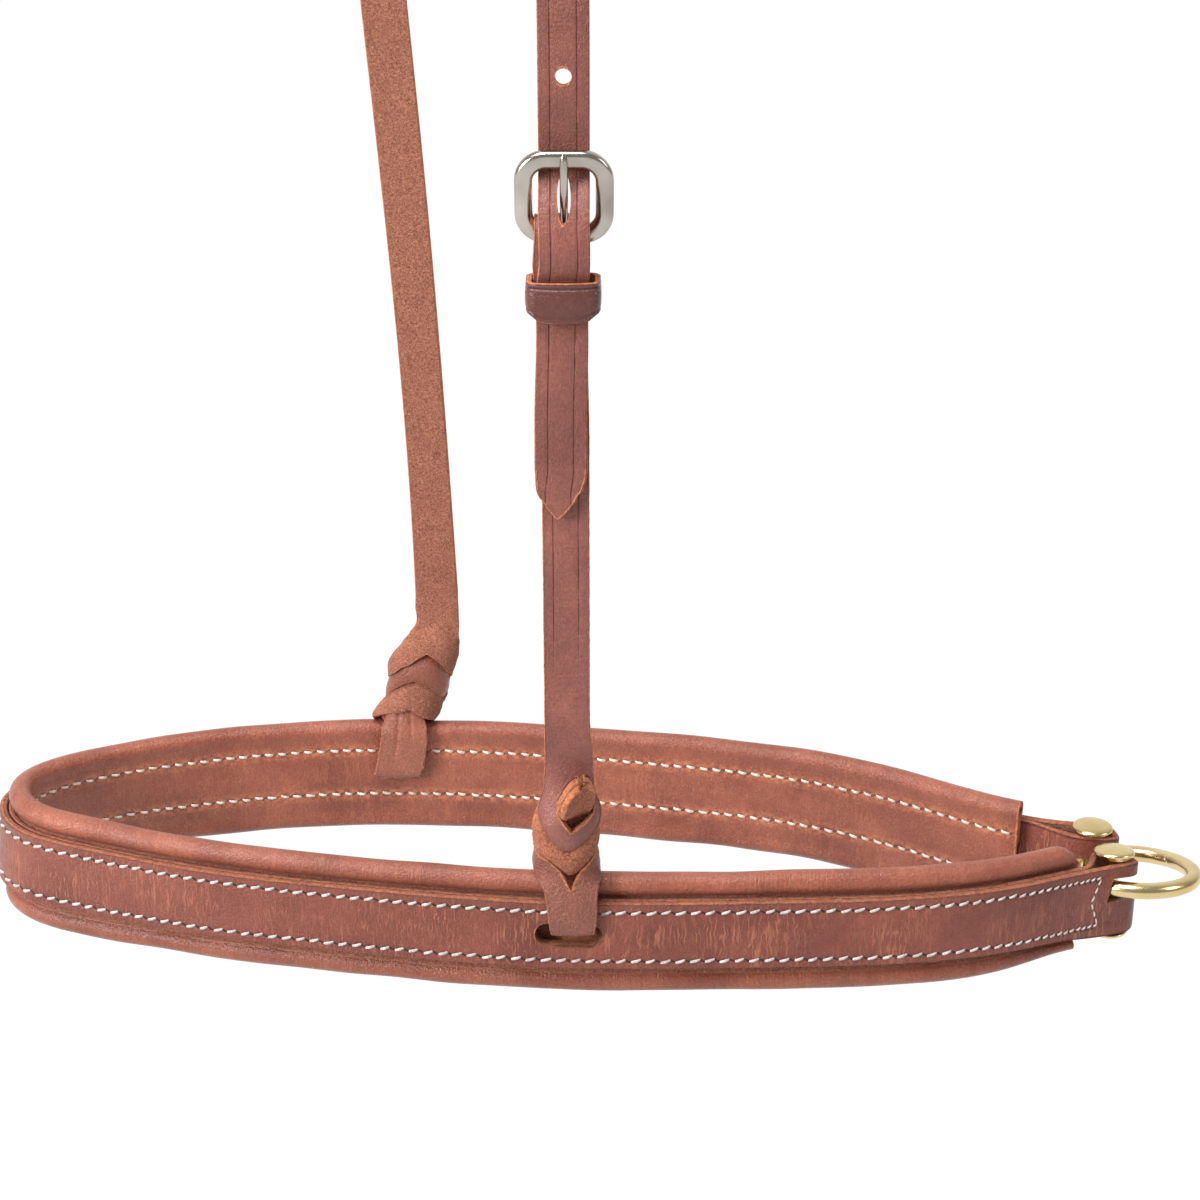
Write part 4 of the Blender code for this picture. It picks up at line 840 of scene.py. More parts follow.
for slot_length in (NEAR_SLOT, FAR_SLOT):
    cut_slot(strap, slot_length)
cut_notch(strap)
settle(strap, "noseband", "outer_strap")
print("outer strap cut", len(strap.data.polygons))

# %% [markdown]
# ## The backing and the lining
#
# Behind the outer strap lies a second, thinner strap, of which only the edge shows. The lining is the soft inner
# face. Its two long edges are rolled round cords, which gives the band its plump top and bottom. It is swept as
# one section, and its rolls waver a little in height, as hand-rolled leather does.


# %% The backing strap
def backing():
    s = np.arange(RETURN_LENGTH + GAP, PLAN_LENGTH - RETURN_LENGTH - GAP, 2.0)
    h = np.linspace(STRAP_BOTTOM, STRAP_TOP - GAP, 9)
    middle = beside_band(s[:, None], (BACKING_FACE + BACKING_BACK) / 2, h[None, :])
    return leather("backing_leather", middle, BACKING_THICKNESS, russet, grain=-1.0, corner=0.4)


back_ply = backing()
for slot_length in (NEAR_SLOT, FAR_SLOT):
    cut_slot(back_ply, slot_length)
settle(back_ply, "noseband", "backing_strap")
print("backing", len(back_ply.data.polygons))

# %% The section of the lining
ROLL_RADIUS, CORE_RADIUS, FLANGE_DEPTH = 2.9, 1.2, 6.5


def arc(centre, radius, first, last, count):
    turn = np.radians(np.linspace(first, last, count))
    return np.column_stack([centre[0] + radius * np.cos(turn), centre[1] + radius * np.sin(turn)])


def lining_section():
    """Points (n, h) and marks: the sheet's face, its two rolls, and the flanges turned in behind the strap."""
    hollow = CORE_RADIUS + GAP
    roll = (0.0, BAND_HEIGHT - ROLL_RADIUS)
    face = np.column_stack([np.full(24, LINING_FACE), np.linspace(BAND_HEIGHT / 2, roll[1] - 1.9, 24)])
    outside = arc(roll, ROLL_RADIUS, 188.0, -46.0, 26)
    low = roll[1] - ROLL_RADIUS
    flange = [(FLANGE_BACK, low), (FLANGE_BACK, low - FLANGE_DEPTH), (FLANGE_FACE, low - FLANGE_DEPTH)]
    flange += [(FLANGE_FACE, roll[1] - hollow)]
    inside = arc(roll, hollow, -75.0, 225.0, 9)
    upper = np.vstack([face, outside, flange, inside, [(LINING_BACK, roll[1] - hollow - GAP)]])
    shown = np.concatenate([np.zeros(24 + 26), np.ones(len(upper) - 50)])
    mirror = np.column_stack([upper[:, 0], BAND_HEIGHT - upper[:, 1]])[::-1]
    return np.vstack([upper, mirror]), np.concatenate([shown, shown[::-1]])


print("the lining's section has", len(lining_section()[0]), "points")


# %% The lining with its rolled edges
def wander(s, seed, size, reach):
    """A slow random wave along the band, the same on every run."""
    draw = np.random.default_rng(seed)
    waves = [(draw.uniform(0.5, 1.6), draw.uniform(0, 2 * np.pi), draw.uniform(0.4, 1.0)) for _ in range(6)]
    return size * sum(a * np.sin(2 * np.pi * s * f / reach + p) for f, p, a in waves) / 3


def lining():
    section, flesh = lining_section()
    end = PLAN_LENGTH - FAR_LINING_END
    s = np.linspace(NEAR_LINING_END, end, int((end - NEAR_LINING_END) / (STITCH_PITCH / 4)))[:, None]
    n = np.broadcast_to(section[:, 0], (len(s), len(section))).copy()
    h = np.broadcast_to(section[:, 1], n.shape).copy()
    faced = (flesh < 0.5) & (section[:, 0] < 0)
    phase = np.interp(s, OUTER_STARTS, OUTER_PHASE)
    for row in ROWS:
        under = np.exp(-(((h - row) / 0.9) ** 2)) * faced
        n += under * (0.2 + 0.12 * np.cos(2 * np.pi * phase))
    # the upper roll closes to a blunt tip at the near end, and the lower one grows thinner towards it
    tip = np.sqrt(np.clip(1 - (1 - np.clip((s - NEAR_LINING_END - 0.8) / 6.0, 0, 1)) ** 2, 0.01, 1))
    upper_roll = h > BAND_HEIGHT - 2 * ROLL_RADIUS
    foot = BAND_HEIGHT - 2 * ROLL_RADIUS + 0.6
    n = np.where(upper_roll, (n - 1.0) * tip + 1.0, n)
    h = np.where(upper_roll, (h - foot) * tip + foot, h)
    thin = 1.0 - 0.38 * (1 - ease((s - NEAR_LINING_END) / 42.0))
    lower_roll = h < 2 * ROLL_RADIUS
    h = np.where(lower_roll, 2 * ROLL_RADIUS - (2 * ROLL_RADIUS - h) * thin, h)
    n = np.where(lower_roll, n * (0.4 + 0.6 * thin), n)
    rolled = np.clip((np.abs(h - BAND_HEIGHT / 2) - 10.0) / 3.0, 0, 1) * (flesh < 0.5)
    for seed, upper in ((3, True), (5, False)):
        here = (h > BAND_HEIGHT / 2) == upper
        h += here * rolled * wander(s, seed, 0.22, 46.0)
        n += here * rolled * wander(s, seed + 10, 0.14, 33.0)
    places = beside_band(np.broadcast_to(s, n.shape), n, h)
    run = np.broadcast_to(s, n.shape)
    flesh = np.broadcast_to(flesh, n.shape).copy()
    rim = np.zeros_like(flesh)
    rim[0] = rim[-1] = 1.0
    over = np.where(faced, h - STRAP_MIDDLE, 40.0)
    place = np.stack([run, over, np.broadcast_to(phase, n.shape)], -1)
    marks = {"place": place, "flesh": flesh, "rim": rim, "close": rim.copy()}
    return skin("rolled_lining", places, lining_leather, marks)


soft_lining = lining()
for slot_length in (NEAR_SLOT, FAR_SLOT):
    cut_slot(soft_lining, slot_length - 1.0, length=11.8, height=2.6, h=STRAP_MIDDLE - 0.5)
settle(soft_lining, "noseband", "lining")
print("lining", len(soft_lining.data.polygons))


# %% The cords in the rolls
def cord(name, node, h):
    """Three strands twisted together, a little shorter than the roll at the near end."""
    s = np.arange(NEAR_LINING_END + 9.0, PLAN_LENGTH - FAR_LINING_END - 0.4, 1.0)[:, None]
    turn = turns(18)[None, :]
    radius = CORE_RADIUS * (0.92 + 0.08 * np.cos(3 * turn + 2 * np.pi * s / 9.0))
    places = beside_band(s, radius * np.cos(turn), h + radius * np.sin(turn))
    place = np.stack([s + 0 * turn, turn + 0 * s, 0 * s * turn], -1)
    return settle(skin(name, places, cord_finish, {"place": place}), "noseband", node)


cords = [
    cord("upper_cord", "upper_roll_core", BAND_HEIGHT - ROLL_RADIUS),
    cord("lower_cord", "lower_roll_core", ROLL_RADIUS),
]
print("cords", [len(made.data.polygons) for made in cords])

# %% [markdown]
# ## Stitching
#
# A saddler's stitch slants, because each awl hole is a slanted slit. Every stitch here is its own small body of
# thread whose two ends dive into the leather. One stitch is drawn once as a grid in band coordinates and laid
# down at each step, so the row follows every bend.


# %% One stitch, laid along the band many times
THREAD_SUNK = 0.12


def stitch_grid(length, width, thick, slant, dive):
    """One stitch as along, across and out, 9 rows by 8 columns."""
    t = np.linspace(-1.0, 1.0, 9)[:, None]
    turn = turns(8)[None, :]
    size = np.sqrt(np.clip(1.0 - np.abs(t) ** 3.2, 0.06, 1.0))
    run = t * length / 2 + 0 * turn
    over = np.cos(turn) * width / 2 * size
    out = np.sin(turn) * thick / 2 * size + thick * 0.35 - dive * np.abs(t) ** 3
    tilt = math.tan(math.radians(slant))
    return run, over - run * tilt, out, t, turn


def stitch_row(name, node, starts, h, seed, face, outward, finish, length, slant, width=0.84, thick=0.62):
    """A row of stitches at lengths along the band, on a face a distance out from the plan curve."""
    run, over, out, t, turn = stitch_grid(length, width, thick, slant, 0.5)
    draw = np.random.default_rng(seed)
    count = len(starts)
    shift = draw.normal(0, 0.09, (count, 1, 1))
    lift = draw.normal(0, 0.07, (count, 1, 1))
    spacing = np.gradient(np.asarray(starts, float))[:, None, None] / STITCH_PITCH
    scale = draw.normal(1.0, 0.05, (count, 1, 1)) * spacing
    over = over * (0.45 + 0.55 * spacing)
    out = out * (0.6 + 0.4 * spacing)
    s = np.asarray(starts)[:, None, None] + run * scale + shift
    level = h + over + lift
    n = face + outward * out + 0 * s
    places = beside_band(s, n, level)
    rows, columns = run.shape
    faces = []
    for k in range(count):
        faces += grid_faces(rows, columns, start=k * rows * columns)
    place = np.stack([np.broadcast_to(run, s.shape) + 0 * s, np.broadcast_to(turn, s.shape) + 0 * s, 0 * s], -1)
    made = add_piece(name, places.reshape(-1, 3), faces, finish, {"place": place.reshape(-1, 3)})
    settle(made, "noseband", node)


lined = (OUTER_STARTS > NEAR_LINING_END + 1.5) & (OUTER_STARTS < PLAN_LENGTH - FAR_LINING_END - 1.5)
inner_starts = OUTER_STARTS[lined]
for seed, row, starts, h, *look in (
    (1, "outer_upper", OUTER_STARTS, ROWS[0], STRAP_OUTSIDE - THREAD_SUNK, 1, outer_thread, 2.85, 17.0),
    (2, "outer_lower", OUTER_STARTS, ROWS[1], STRAP_OUTSIDE - THREAD_SUNK, 1, outer_thread, 2.85, 17.0),
    (3, "inner_upper", inner_starts, ROWS[0], LINING_FACE + THREAD_SUNK, -1, inner_thread, 2.6, 9.0),
    (4, "inner_lower", inner_starts, ROWS[1], LINING_FACE + THREAD_SUNK, -1, inner_thread, 2.6, 9.0),
):
    stitch_row(f"{row}_stitches", f"{row}_stitching", starts, h, seed, *look)
print("stitches", 2 * len(OUTER_STARTS) + 2 * len(inner_starts))


# %% The arrow-head stitches beside each fold
def chevron(name, node, near):
    """Short stitches along the two strokes of an arrow head."""
    start = NEAR_CHEVRON if near else FAR_CHEVRON
    reach = ROW_SPACING / 2
    corners = [(start, reach), (start + CHEVRON_POINT, 0.0), (start, -reach)]
    run, over, out, t, turn = stitch_grid(1.9, 0.5, 0.42, 0.0, 0.35)
    rows, columns = run.shape
    places, faces = [], []
    for (a0, z0), (a1, z1) in zip(corners, corners[1:]):
        for share in (0.17, 0.5, 0.83):
            away = a0 + (a1 - a0) * share
            rise = z0 + (z1 - z0) * share
            angle = math.atan2(z1 - z0, a1 - a0) + 0.12
            along = away + run * math.cos(angle) - over * math.sin(angle)
            level = STRAP_MIDDLE + rise + run * math.sin(angle) + over * math.cos(angle)
            faces += grid_faces(rows, columns, start=len(places) * rows * columns)
            places.append(beside_band(end_length(along, near), STRAP_OUTSIDE + out, level).reshape(-1, 3))
    count = len(places)
    place = np.tile(np.stack([run, turn + 0 * run, 0 * run], -1).reshape(-1, 3), (count, 1))
    made = add_piece(name, np.vstack(places), faces, outer_thread, {"place": place})
    settle(made, "noseband", node)


chevron("near_end_stitches", "near_end_stitching", True)
chevron("far_end_stitches", "far_end_stitching", False)
print("arrow heads", NEAR_CHEVRON, FAR_CHEVRON, "mm from the folds")

# %% [markdown]
# ## Ring and posts
#
# The ring is closed round wire with a fine line where it was joined. Each post is turned: a domed head with a
# thin rim, a plain barrel, and a slotted domed screw that closes it from below. A lathe profile spun about a
# line gives exactly that, and enough segments keep the silhouette round.


# %% The ring
SEAM_AT = math.radians(38.0)


def ring():
    along, rounds = turns(240), turns(28)
    seam = np.abs((along - SEAM_AT + np.pi) % (2 * np.pi) - np.pi) * RING_RADIUS
    wire = RING_WIRE / 2 - 0.16 * np.exp(-((seam / 0.28) ** 2))
    outward = RING_RIGHT * np.cos(along)[:, None] + RING_FAR * np.sin(along)[:, None]
    middle = RING_CENTRE + outward * RING_RADIUS
    grid = middle[:, None] + wire[:, None, None] * (
        outward[:, None] * np.cos(rounds)[None, :, None] + RING_AXIS * np.sin(rounds)[None, :, None]
    )
    return skin("joined_ring", grid, brass, closed_rows=True)


settle(ring(), "tie_ring", "ring")
print("ring", RING_INSIDE, "mm inside, wire", RING_WIRE)

# %% Posts and screws
POST_RADIUS, POST_BORE, SCREW_RADIUS = 1.6, 1.1, 0.8
HEAD_RADIUS, HEAD_RISE, HEAD_RIM = 5.15, 1.5, 0.35
HEAD_UNDER, FOOT_UNDER = FOLD_TOP + 0.8, FOLD_BOTTOM - 0.6
HEAD_LEAN = math.radians(8.0)
DRIVER_SLOT, DRIVER_DEPTH = ((-3.6, -0.5), (3.6, -0.5), (3.6, 0.5), (-3.6, 0.5)), 0.9
POST_PLACES = {"near_post": (166.03, -18.33), "far_post": (163.26, -5.03)}


def turned(name, place, profile, finish, lean_above=math.inf):
    """A round body spun about an upright line, from a profile of (radius, height) that starts and ends on it."""
    profile = np.array(profile, float)
    turn = turns(64)[None, :]
    radius = np.maximum(profile[:, 0], 0.004)[:, None]
    x = place[0] + radius * np.cos(turn)
    y = place[1] + radius * np.sin(turn)
    z = world_z(profile[:, 1])[:, None] - (y - place[1]) * math.tan(HEAD_LEAN) * (profile[:, 1:2] >= lean_above)
    return skin(name, np.stack([x, y, z], -1), finish)


def dome(under, up):
    """Profile of a domed head from its rim to its crown; up is 1 or -1."""
    t = np.linspace(0.0, 1.0, 14)
    soft = [(HEAD_RADIUS - 0.22, under), (HEAD_RADIUS - 0.06, under + up * 0.07), (HEAD_RADIUS, under + up * 0.2)]
    curve = [(HEAD_RADIUS * math.sqrt(1 - s * s), under + up * (HEAD_RIM + HEAD_RISE * s)) for s in t[1:]]
    return soft + [(HEAD_RADIUS, under + up * HEAD_RIM)] + curve


for label, place in POST_PLACES.items():
    bore_top = HEAD_UNDER - POST_RADIUS
    barrel = [(0.0, bore_top), (POST_BORE, bore_top), (POST_BORE, FOOT_UNDER + GAP)]
    barrel += [(POST_RADIUS, FOOT_UNDER + GAP), (POST_RADIUS, HEAD_UNDER)]
    leaning = HEAD_UNDER + 0.01 if label == "near_post" else math.inf
    post = turned(f"{label}_head", place, barrel + dome(HEAD_UNDER, 1), brass, leaning)
    shank = [(0.0, bore_top - GAP), (SCREW_RADIUS, bore_top - GAP), (SCREW_RADIUS, FOOT_UNDER)]
    screw = turned(f"{label}_slotted_screw", place, shank + dome(FOOT_UNDER, -1), brass)
    foot = (*place, world_z(FOOT_UNDER - HEAD_RIM - HEAD_RISE))
    cut(screw, DRIVER_SLOT, foot, (1, 0, 0), (0, 1, 0), (0, 0, 1), DRIVER_DEPTH)
    for piece, node in ((post, label), (screw, f"{label}_screw")):
        settle(piece, f"{label}_pair", node)
print("posts at", POST_PLACES)

# %% [markdown]
# ## The hanger's straps
#
# The hanger is two lengths of narrow strap. The near one carries the buckle and is looped through the near slot.
# The far one is looped through the far slot, runs up over the head and comes down again as the billet, with its
# holes. Both are swept along smooth lines, and where the strap turns from facing the side to facing the front
# the direction across it turns with it.

# %% Measures of the hanger
HANGER_THICKNESS = 2.2
CHEEK_X, CHEEK_Y = 26.7, -42.5
CHEEK_WIDTH, CHAPE_WIDTH, CROWN_WIDTH = 10.8, 9.6, 11.2
BAR_HEIGHT, BAR_Y = 192.0, -39.1
CHAPE_Y, BILLET_Y, BILLET_SLACK = -40.0, -45.0, 1.4
CHAPE_BEND, CHAPE_CLOSED, CHAPE_PINCH, CHAPE_PINCH_OFF, CHAPE_LENGTH = 3.4, 6.6, 5.0, 0.75, 32.0
BUCKLE_RISE, BUCKLE_LEAN, FRAME_HALF_WIDTH, FRAME_HALF_DEPTH = 17.0, 3.5, 2.0, 1.5
CROWN_HALF_RUN, CROWN_BEND, CROWN_TURN = 18.0, 20.5, math.radians(38.8)
BILLET_TIP, BILLET_OFF, CROSSING_RISE, HOLE_PITCH, HOLE_COUNT = 128.0, 0.95, 8.8, 25.4, 5
CREASES, CREASES_END = (-2.9, 2.9), 85.0
print("hanger strap", HANGER_THICKNESS, "mm thick")


# %% A flat strap through measured places
def strap_grid(rows, spacing=1.3, columns=29):
    """A middle surface through rows of x, y, h, width and turn about the upright, in radians."""
    rows = np.array(rows, float)
    rows[:, 2] = world_z(rows[:, 2])
    line, length = smooth_line(rows)
    points = line(np.linspace(0.0, length, max(8, int(length / spacing))))
    return turned_grid(points, columns)


def turned_grid(points, columns):
    """The grid for points of x, y, z, width and turn."""
    centre = points[:, :3]
    along = unit(np.gradient(centre, axis=0))
    across = np.column_stack([np.cos(points[:, 4]), np.sin(points[:, 4]), 0 * points[:, 4]])
    across = unit(across - along * (across * along).sum(1)[:, None])
    return across_grid(centre, across, points[:, 3], columns)


def creased(grid):
    """How clear the creases are in each row; they fade out just above the knots."""
    return ease((grid[:, 0, 2] - world_z(CREASES_END)) / 25.0)


def crease_relief(grid, depth=0.09):
    """Shallow creased lines at fixed distances from the strap's middle, on a slightly crowned surface."""
    over = np.linalg.norm(grid - grid[:, grid.shape[1] // 2][:, None], axis=2)
    over *= np.sign(np.arange(grid.shape[1]) - grid.shape[1] // 2)
    crown = 0.12 * (1 - (2 * np.abs(over) / np.maximum(np.abs(over).max(), 1e-6)) ** 2)
    return crown - creased(grid)[:, None] * sum(depth * np.exp(-(((over - at) / 0.32) ** 2)) for at in CREASES)


print("strap helper is ready")

# %% [markdown]
# ## The knots
#
# Above each slot the two ends of a strap are locked by passing one through a slit in the other, so the leather
# shows in layers: a grain stem with a slit, a suede ribbon through it, the rounded eye of the strap, and the cut
# tip that comes out of the eye. From the inner side the same knot shows three arches over a stem. Each layer is a
# sheet laid over an oval body, so its place is given by how far round it goes, how high, and how far it is
# lifted. The outline of each layer is written as it is seen from the front, in millimetres from the slot's
# middle and the band's top.

# %% The body of a knot
def eased_table(rows):
    """Columns of a table as smooth functions of its first column."""
    rows = np.array(rows, float)
    fine = np.arange(rows[0, 0] - 3.0, rows[-1, 0] + 3.0, 0.2)
    bell = np.exp(-((np.arange(-8, 9) * 0.2 / 0.7) ** 2))
    smooth = []
    for column in rows.T[1:]:
        padded = np.pad(np.interp(fine, rows[:, 0], column), 8, mode="edge")
        smooth.append(np.convolve(padded, bell / bell.sum(), mode="valid"))
    return lambda z: [np.interp(z, fine, column) for column in smooth]


KNOT_DEPTH = (
    (-2.0, 7.7), (0.3, 7.2), (4.0, 6.4), (8.0, 6.0), (11.0, 5.8), (15.0, 5.4), (18.0, 5.0), (20.0, 4.6),
    (23.0, 3.9), (25.0, 3.3), (28.0, 2.4), (31.4, 1.6), (35.0, 1.15), (45.0, 1.1),
)
STEM_OUT = ((-15.4, -0.4), (-14.9, 1.75), (-14.4, 3.75), (-13.7, 5.75), (-12.8, 7.05), (-11.2, 7.7), (-4.0, 7.85))
STEM_IN = ((-16.2, 0.5), (-15.9, 2.4), (-15.6, 4.45), (-15.2, 6.3), (-14.2, 7.5), (-13.0, 7.85), (-4.0, 7.85))
DEPTHS = {"outer": eased_table(STEM_OUT + KNOT_DEPTH), "inner": eased_table(STEM_IN + KNOT_DEPTH)}
NEAR_SIDES = (
    (-16.0, -4.4, 6.0, 0.95), (-12.9, -4.6, 6.2, 0.95), (-7.8, -5.1, 6.8, 0.95), (-3.0, -5.7, 6.8, 0.95),
    (0.3, -6.9, 7.3, 0.95), (4.0, -8.7, 7.8, 0.95), (8.0, -9.1, 7.5, 1.2), (11.0, -8.6, 6.9, 1.6),
    (15.0, -9.0, 7.5, 2.2), (18.0, -8.6, 7.4, 2.8), (20.0, -7.8, 7.7, 3.2), (23.0, -7.4, 7.9, 3.6),
    (25.0, -7.1, 7.7, 3.9), (28.0, -6.5, 6.9, 4.2), (31.4, -5.9, 6.1, 4.4), (35.0, -5.5, 5.9, 4.4),
)
FAR_SIDES = (
    (-16.5, -6.8, 4.9, 0.95), (-14.5, -6.7, 6.0, 0.95), (-8.3, -5.6, 7.7, 0.95), (-0.8, -4.3, 8.2, 0.95),
    (1.5, -5.5, 9.0, 0.95), (3.4, -7.7, 11.0, 0.9), (6.4, -5.8, 12.3, 0.7), (9.0, -3.6, 12.8, 0.4),
    (12.3, -3.2, 14.6, 0.0), (16.6, -2.0, 15.0, -0.6), (19.3, -2.1, 15.9, -1.1), (21.5, -1.5, 16.6, -1.5),
    (23.7, -0.1, 17.3, -1.8), (26.3, 2.0, 17.6, -2.1), (29.6, 3.6, 17.9, -2.3), (31.7, 5.4, 17.9, -2.4),
    (36.0, 6.0, 17.8, -2.45),
)


def knot(slot, sides, out):
    place = plan_at([slot])[0][0]
    return {"x": place[0], "y": place[1], "sides": eased_table(sides), "out": out}


KNOTS = {"near": knot(NEAR_SLOT, NEAR_SIDES, -1.0), "far": knot(FAR_SLOT, FAR_SIDES, 1.0)}
print("knots at", [(round(k["x"], 1), round(k["y"], 1)) for k in KNOTS.values()])

# %% [markdown]
# The outlines are drawn as they look from a little above, so a point that stands further forward than the rest
# is drawn lower than it is. The function takes that out again. It also turns a pattern drawn for one knot half
# round for the side of the other knot that is hidden from the camera.


# %% Laying a sheet over a knot
# which knot a view was drawn from, how much lower a place is drawn per millimetre forward, and the plane that isn't
VIEWS = {"outer": ("near", 0.5, 6.9), "inner": ("far", 0.434, 5.2)}
ROUND_FROM, ROUND_RATE = 0.92, 2.5


def knot_point(side, view, x, z, lift, flat=None, squeeze=1.0):
    """World places for outline points of a view, laid on a side of a knot."""
    own, slope, plane = VIEWS[view]
    left, right, _ = KNOTS[own]["sides"](z)
    t = (x - (left + right) / 2) / ((right - left) / 2) * squeeze
    body = KNOTS[side]
    left, right, centre = body["sides"](z)
    deep = DEPTHS[view](z)[0]
    if flat is None:
        flat = np.maximum(1 - ease((z + 2.0) / 7.0), ease((z - 25.0) / 8.0))
    beyond = np.sign(t) * (math.asin(ROUND_FROM) + (np.abs(t) - ROUND_FROM) * ROUND_RATE)
    angle = np.where(np.abs(t) < ROUND_FROM, np.arcsin(np.clip(t, -ROUND_FROM, ROUND_FROM)), beyond)
    skin_depth = HANGER_THICKNESS / 2
    half = (right - left) / 2
    reach = deep - skin_depth + lift
    front = reach * np.sign(np.cos(angle)) * np.abs(np.cos(angle)) ** 0.8
    wide = (half - skin_depth + 0.3 * lift) * np.sin(angle)
    level_front = reach - 0.5 * t**2
    wide = wide * (1 - flat) + half * np.clip(t, -1.0, 1.0) * flat
    front = front * (1 - flat) + level_front * flat
    towards_camera = (side, view) in (("near", "outer"), ("far", "inner"))
    turn = -1.0 if towards_camera else 1.0
    scale = 1.0 if towards_camera else 0.97
    out_x = body["x"] + (left + right) / 2 - turn * wide * scale
    out_y = body["y"] + body["out"] * centre + turn * front
    drop = slope * (plane - front) * ease((z + 5.0) / 10.0)
    return np.stack([out_x, out_y, world_z(BAND_HEIGHT + z - drop)], -1)


def knot_spot(side, x, z, lift=0.0, flat=None):
    """One world place on the outer side of a knot."""
    return knot_point(side, "outer", *(np.array([[v]]) for v in (x, z, lift)), flat)[0, 0]


def sheet(side, view, stations, rows, columns, flat=None, squeeze=1.0):
    """A grid through stations of x0, z0, x1, z1 and the lift at the first edge, the middle and the last edge."""
    line, length = smooth_line(stations, places=4)
    s = line(np.linspace(0.0, length, rows))
    v = np.linspace(0.0, 1.0, columns)[None, :]
    x = s[:, 0:1] * (1 - v) + s[:, 2:3] * v
    z = s[:, 1:2] * (1 - v) + s[:, 3:4] * v
    lift = s[:, 4:5] * (1 - v) * (1 - 2 * v) + s[:, 5:6] * 4 * v * (1 - v) + s[:, 6:7] * v * (2 * v - 1)
    return knot_point(side, view, x, z, lift, flat, squeeze)


def roughen(made, size, seed, where="flesh", scale=0.9):
    """Raises a fine uneven nap on the suede or the cut edges of a piece."""
    mesh = made.data
    values = np.zeros(len(mesh.vertices), np.float32)
    mesh.attributes[where].data.foreach_get("value", values)
    for v, share in zip(mesh.vertices, values):
        if share > 0.3:
            p = v.co / MM / scale + Vector((seed * 7.3, 0, 0))
            v.co += v.normal * (lumps.noise(p) + 0.6 * lumps.noise(p * 2.3)) * size * MM * float(share)
    return made


print("sheets can be laid on the knots")


# %% The layers of a knot
# each sheet goes through rows of x0, z0, x1, z1 and three lifts; a slit or a hole is a plain outline of x, z
STEM_OUTSIDE = (
    (-4.5, -15.3, 6.1, -15.3, 0, 0, 0), (-4.6, -13.0, 6.2, -13.0, 0, 0, 0), (-5.1, -8.0, 6.8, -8.0, 0, 0, 0),
    (-5.7, -3.0, 6.8, -3.0, 0, 0, 0), (-7.0, 0.3, 7.4, 0.3, 0, 0.1, 0), (-9.6, 3.0, 8.7, 3.0, 0, 0.3, 0),
    (-11.2, 6.0, 9.9, 6.0, 0, 0.4, 0), (-12.0, 9.5, 10.4, 9.5, 0, 0.3, 0), (-12.2, 12.5, 10.6, 12.5, -0.8, -0.2, -0.8),
)
STEM_SLIT = (
    (0.5, -0.6), (1.7, 2.4), (3.0, 4.9), (5.4, 7.4), (6.6, 9.6), (9.5, 11.5), (9.5, 17.0), (-9.8, 17.0),
    (-9.8, 10.0), (-6.4, 8.5), (-4.5, 7.5), (-2.2, 5.2), (-0.9, 2.6), (0.1, 0.0),
)
RIBBON = (
    (-12.4, 14.5, -11.0, 23.5, -0.8, -0.6, -0.8), (-10.2, 12.0, -9.2, 21.5, -0.6, 0.0, -0.6),
    (-8.4, 9.8, -7.0, 18.6, -0.6, 0.4, -0.2), (-6.4, 7.8, -5.2, 15.4, -0.9, 0.5, 0.0),
    (-4.3, 6.6, -3.3, 12.9, -1.0, 0.7, 0.1), (-2.2, 5.2, -1.4, 11.3, -1.0, 0.8, 0.0),
    (0.4, 4.3, 0.5, 10.4, -1.0, 0.8, -0.4), (2.9, 5.5, 2.5, 11.9, -1.0, 0.8, 0.0),
    (5.0, 6.8, 4.4, 14.2, -1.0, 0.7, 0.1), (6.6, 8.6, 6.2, 16.8, -0.8, 0.5, -0.1),
    (8.4, 11.2, 7.9, 19.4, -0.6, 0.1, -0.5), (10.4, 13.8, 9.8, 22.0, -0.8, -0.5, -0.8),
)
EYE = (
    (-5.5, 37.0, 5.9, 37.0, 0, 0, 0), (-5.7, 33.5, 5.9, 33.5, 0, 0, 0), (-6.2, 30.0, 6.4, 30.0, 0, 0.1, 0),
    (-6.9, 27.0, 7.2, 27.0, 0.3, 0.4, 0.3), (-7.6, 24.0, 8.1, 24.0, 0.6, 0.8, 0.6),
    (-7.5, 21.0, 8.0, 21.0, 1.0, 1.3, 1.0), (-6.5, 18.2, 7.1, 18.2, 1.3, 1.8, 1.3),
    (-5.3, 15.8, 5.6, 15.8, 1.3, 2.0, 1.3), (-4.0, 13.9, 3.9, 13.9, 1.0, 1.8, 1.0),
    (-2.7, 12.5, 2.6, 12.5, 0.4, 1.2, 0.4), (-1.4, 11.3, 1.2, 11.3, -0.6, 0.0, -0.6),
    (-0.5, 10.7, 0.4, 10.7, -1.4, -1.1, -1.4),
)
EYE_HOLE = ((-2.6, 21.6), (-0.9, 19.0), (0.7, 17.0), (3.6, 18.7), (5.9, 21.2), (6.1, 23.0), (4.6, 26.0), (0.0, 26.0),
            (-2.4, 24.2))
STEM_INSIDE = (
    (-6.8, -16.0, 4.8, -16.0, 0, 0, 0), (-6.7, -14.0, 6.1, -14.0, 0, 0, 0), (-5.6, -8.3, 7.7, -8.3, 0, 0, 0),
    (-4.3, -0.8, 8.2, -0.8, 0, 0, 0), (-3.6, 3.0, 7.6, 3.0, -0.3, -0.1, -0.3), (-2.6, 7.5, 7.4, 7.5, -1.2, -1.0, -1.2),
)
